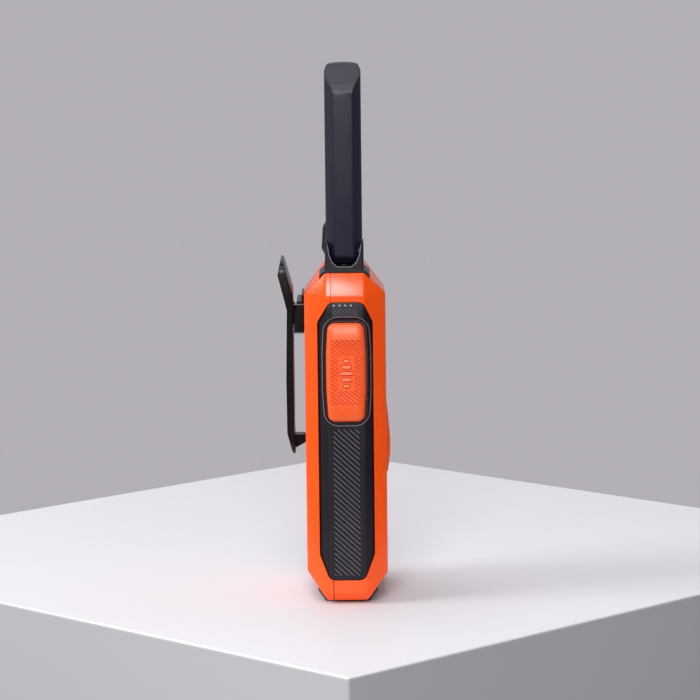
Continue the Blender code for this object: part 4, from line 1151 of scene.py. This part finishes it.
def make_bracket():
    """The clip's bracket: a block with thin flanges along its top and bottom edges, around the pin."""
    low, high = corners_mm("clip_bracket")
    side = [(14.8, 96.4), (18.4, 96.4), (18.4, 101.8), (17.9, 104.5), (17.3, 106.6), (14.8, 106.6)]
    made = prism("X", side, (low.x + 0.2, high.x - 0.2))
    cut(made, rod("X", PIN, PIN_HOLE, (low.x + 0.38, high.x - 0.38), 24))
    for x in LUG_XS:
        cut(made, box(about(x, 1.15), BACK_SIDE, (97.6, 107.2)))
    cut(made, box((-3.6, 3.6), BACK_SIDE, (101.1, 104.9)))
    top = [(14.8, 107.2), (17.4, 107.2), (17.2, 107.9), (15.6, 107.9), (15.6, 110.2), (14.8, 110.2)]
    join(made, prism("X", oblong((14.8, 16.9), (106.5, 107.3)), (low.x + 0.5, high.x - 0.5)))
    join(made, prism("X", top, (low.x, high.x)))
    for place in CLIP_SCREW_PLACES:
        cut(made, rod("Y", place, SCREW_HOLE, BACK_SIDE, 16))
        cut(made, rod("Y", place, 1.9, (16.4, 30.0), 32))
    piece(made, "bracket_block", BLACK, "black", "clip_bracket")
    # Pale strips along the near face's top and bottom edges: painted highlights.
    edge = (low.x, low.x + 0.6)
    strips = join(box(edge, (14.9, 18.4), (106.55, 106.95)), box(edge, (14.9, 18.3), (96.2, 96.6)))
    piece(strips, "bracket_edge_highlights", PAINTED_HIGHLIGHT, "black")


# ---- front face


def make_display():
    """The tinted window with its dark border, and the display face that shows in it."""
    low, high = corners_mm("lcd_window")
    window = prism("Y", window_outline(0.0), (low.y, high.y))
    soften(window, 0.3, 3, 40.0)
    recess = rounded(oblong((-12.6, 12.6), (79.0, 97.4)), 1.0)
    cut(window, prism("Y", recess, (-20.0, low.y + 0.22)))
    piece(window, "window_lens", GLOSS, "window", "lcd_window")
    face = rounded(oblong((-12.4, 12.4), (79.2, 97.2)), 0.9)
    piece(prism("Y", face, (low.y + 0.05, low.y + 0.2)), "display_face", DISPLAY, "window")


def make_grille():
    """The speaker's panel: rows of short slots between dark webs, framed by a raised edge."""
    low, high = corners_mm("speaker_grille")
    made = prism("Y", grille_outline(0.0), (low.y, high.y))
    cut(made, prism("Y", grille_outline(-1.1), (-20.0, low.y + 0.2)))
    slots = []
    for row in range(-5, 6):
        z = SPEAKER[1] + row * SLOT_ROW
        reach = 11.4 if abs(row) < 3 else 13.6 - 1.9 * (abs(row) - 1.6)
        count = int(reach // SLOT_PITCH)
        for column in range(-count, count + 1):
            x = column * SLOT_PITCH + (SLOT_PITCH / 2 if row % 2 else 0.0)
            if abs(x) < reach and math.hypot(x, z - SPEAKER[1]) < 11.2:
                slots.append(rounded(oblong(about(x, 1.0), about(z, 0.5)), 0.48, 3))
    cut(made, prisms("Y", slots, FRONT_WALL))
    piece(made, "grille_panel", BLACK, "black", "speaker_grille")


def key_mark(name):
    """The raised sign on a key: triangles, bars or a ring."""
    x, z = KEYS[name][0]
    if name == "up":
        return [[(x - 1.3, z - 0.7), (x + 1.3, z - 0.7), (x, z + 0.9)]]
    if name == "down":
        return [[(x - 1.3, z + 0.7), (x, z - 0.9), (x + 1.3, z + 0.7)]]
    if name == "menu":
        return [oblong(about(x, 1.3), about(z + shift, 0.18)) for shift in (-0.9, 0.0, 0.9)]
    if name == "call":
        bars = ((-0.9, 0.5), (0.0, 1.3), (0.9, 0.8))
        return [oblong(about(x + shift, 0.2), about(z, half)) for shift, half in bars]
    return [circle((x, z), 0.9, 20)]


def make_key(name):
    """A rubber key that follows the plateau's surface, with a raised sign."""
    surface = [(-11.0, 40.0), (-14.95, 45.8), (-15.75, 53.5), (-15.75, 58.7), (-14.65, 70.8), (-11.0, 76.0)]
    made = prism("Y", key_outline(name), (-17.0, -11.4))
    keep(made, prism("X", surface[::-1], (-30.0, 30.0)))
    soften(made, 0.28, 3, 40.0)
    join(made, prism("Y", key_outline(name, 0.9), (-12.1, high_mm("key_" + name).y)))
    piece(made, "key_cap_" + name, GRIP, "grip", "key_" + name, body=name)
    sign = prisms("Y", key_mark(name), (-17.0, -14.0))
    keep(sign, prism("X", [(y - 0.04 if y < -14.0 else y, z) for y, z in surface[::-1]], (-30.0, 30.0)))
    piece(sign, "key_sign_" + name, PALE, "grip", body=name)


# ---- back and side covers


def make_door():
    """The battery door, with a thumb patch of ridges and rounded edges."""
    made = body_block(0.0, round_by=FACET_ROUND)
    keep(made, box((DOOR_LOW.x, DOOR_HIGH.x), (DOOR_LOW.y, 40.0), (DOOR_LOW.z, DOOR_HIGH.z)))
    soften(made, 0.2, 2, 50.0)
    for step in range(6):
        cut(made, rod("X", (14.35, 24.0 + step * 1.8), 0.5, about(0.0, 7.0 - 0.9 * step), 12))
    piece(made, "door_panel", ORANGE, "orange", "battery_door", body="door")


def make_latch():
    """The door's sliding latch, with four fine grooves."""
    low, high = corners_mm("door_latch")
    made = box(*zip(low, high))
    soften(made, 0.2, 2, 40.0)
    for step in range(4):
        z = low.z + 0.75 + step * 0.7
        cut(made, rod("X", (high.y + 0.05, z), 0.2, (low.x + 1.2, high.x - 1.2), 10))
    piece(made, "latch_slider", BLACK, "black", "door_latch", body="latch")


def make_flap():
    """The rubber cover over the sockets, with a pull lip and shallow ridges."""
    low, high = corners_mm("port_cover")
    side = [(low.x, low.y), (high.x, low.y), (high.x, high.y), (28.0, high.y), (low.x, 3.6)]
    made = prism("Z", side, (low.z, high.z))
    keep(made, port_opening(0.0, RIGHT_WALL))
    soften(made, 0.3, 3, 40.0)
    for step in range(5):
        cut(made, rod("Y", (high.x + 0.1, 81.0 + step * 2.0), 0.4, (low.y + 2.2, high.y - 2.6), 12))
    cut(made, rod("Z", (high.x + 0.2, low.y + 0.9), 0.5, (low.z + 7.0, high.z - 7.0), 12))
    piece(made, "port_flap", GRIP, "grip", "port_cover", body="port_flap")


def make_screw(node):
    """A screw with a softened head, a six-lobed socket and a plain shank."""
    low, high = corners_mm(node)
    centre = ((low.x + high.x) / 2, (low.z + high.z) / 2)
    radius = (high.x - low.x) / 2
    made = rod("Y", centre, radius, (high.y - 1.1, high.y), 40)
    soften(made, 0.2, 3)
    lobes = []
    for step in range(36):
        angle = 2 * math.pi * step / 36
        reach = radius * (0.46 + 0.08 * math.cos(6 * angle))
        lobes.append((centre[0] + reach * math.cos(angle), centre[1] + reach * math.sin(angle)))
    cut(made, prism("Y", lobes, (high.y - 0.8, high.y + 1.0)))
    join(made, rod("Y", centre, radius * 0.55, (low.y, high.y - 1.0), 24))
    piece(made, node.replace("housing_", "body_") + "_head", STEEL, "steel", node)


def dress_inside():
    """Gives every CAD node that still shows its own material."""
    slots = {row["node"]: row.get("material_slot", row["node"]) for row in frame["record"]["subparts"]}
    for name, node in frame["nodes"].items():
        if node.hide_render:
            continue
        node.data.materials.clear()
        node.data.materials.append(SLOT_SURFACES[slots[name]])


# ---- stage, lights, camera


def stage_surface(name, light):
    """A plain matt surface of the given lightness, very slightly uneven."""
    made = Nodes(name)
    cloud = made.noise(3.0, 4.0)
    low, high = [tuple(light * part * value for value in (0.96, 0.96, 1.0)) for part in (0.95, 1.0)]
    tint = made.mixed(made.ranged(cloud, 0.0, 1.0), low, high)
    fine = made.noise(900.0, 2.0)
    return made.finish(tint, 0.5, made.bump(fine, 0.02, 0.3))


def area_light(name, place, target, size, power):
    data = bpy.data.lights.new(name, "AREA")
    data.shape = "RECTANGLE"
    data.size, data.size_y = size
    data.energy = power
    made = bpy.data.objects.new(name, data)
    made.location = place
    made.rotation_euler = (Vector(target) - Vector(place)).to_track_quat("-Z", "Y").to_euler()
    bpy.context.scene.collection.objects.link(made)


def make_room():
    """A grey wall behind the radio that fades into a darker room in front of it and to its right."""
    world = bpy.data.worlds.new("room")
    world.use_nodes = True
    nodes, links = world.node_tree.nodes, world.node_tree.links
    place = nodes.new("ShaderNodeTexCoord")
    towards = nodes.new("ShaderNodeVectorMath")
    towards.operation = "DOT_PRODUCT"
    towards.inputs[1].default_value = WALL_SIDE
    fade = nodes.new("ShaderNodeMapRange")
    fade.interpolation_type = "SMOOTHSTEP"
    preset(fade, From_Min=-0.6, From_Max=0.5, To_Min=0.36, To_Max=1.0)
    links.new(place.outputs["Generated"], towards.inputs[0])
    links.new(towards.outputs["Value"], fade.inputs["Value"])
    background = preset(nodes["Background"], Color=WALL_COLOUR)
    links.new(fade.outputs["Result"], background.inputs["Strength"])
    bpy.context.scene.world = world


def make_stage():
    """A pale square floor slab, its side faces a darker grey as painted shade, under soft boxes, in a grey
    room.
    """
    floor = prism("Z", [(x / MM, y / MM) for x, y in FLOOR_CORNERS], (-200.0, 0.0))
    soften(floor, 1.0, 3)
    floor.name = "floor"
    floor.data.materials.append(stage_surface("floor_top", 0.80))
    floor.data.materials.append(stage_surface("floor_side_shaded", 0.54))
    # Side faces get the darker grey: painted shade.
    for face in floor.data.polygons:
        face.material_index = int(abs(face.normal.z) < 0.5)
    make_room()
    for light in LIGHTS:
        area_light(*light)
    bpy.context.scene.view_settings.view_transform = "Standard"


def make_camera():
    """A long lens at the photograph's viewpoint, pitched down and rolled a little."""
    data = bpy.data.cameras.new("camera")
    data.lens = CAMERA_LENS
    data.sensor_width = 36.0
    made = bpy.data.objects.new("camera", data)
    made.location = CAMERA_PLACE
    pitch = math.radians(CAMERA_PITCH)
    ahead = Vector((math.cos(pitch), 0.0, -math.sin(pitch)))
    made.rotation_mode = "QUATERNION"
    roll = Matrix.Rotation(math.radians(CAMERA_ROLL), 4, "Z").to_quaternion()
    made.rotation_quaternion = ahead.to_track_quat("-Z", "Y") @ roll
    bpy.context.scene.collection.objects.link(made)
    bpy.context.scene.camera = made


make_front_shell()
make_rear_shell()
for side, tag in ((-1, "left"), (1, "right")):
    make_grip(f"{tag}_grip_front", side, True)
    make_grip(f"{tag}_grip_rear", side, False)
make_seam()
make_foot()
make_ptt()
make_antenna()
make_cradle()
make_knob()
make_clip()
make_bracket()
make_display()
make_grille()
for key in KEYS:
    make_key(key)
make_door()
make_latch()
make_flap()
for screw in SCREWS:
    make_screw(screw)
dress_inside()
make_stage()
make_camera()
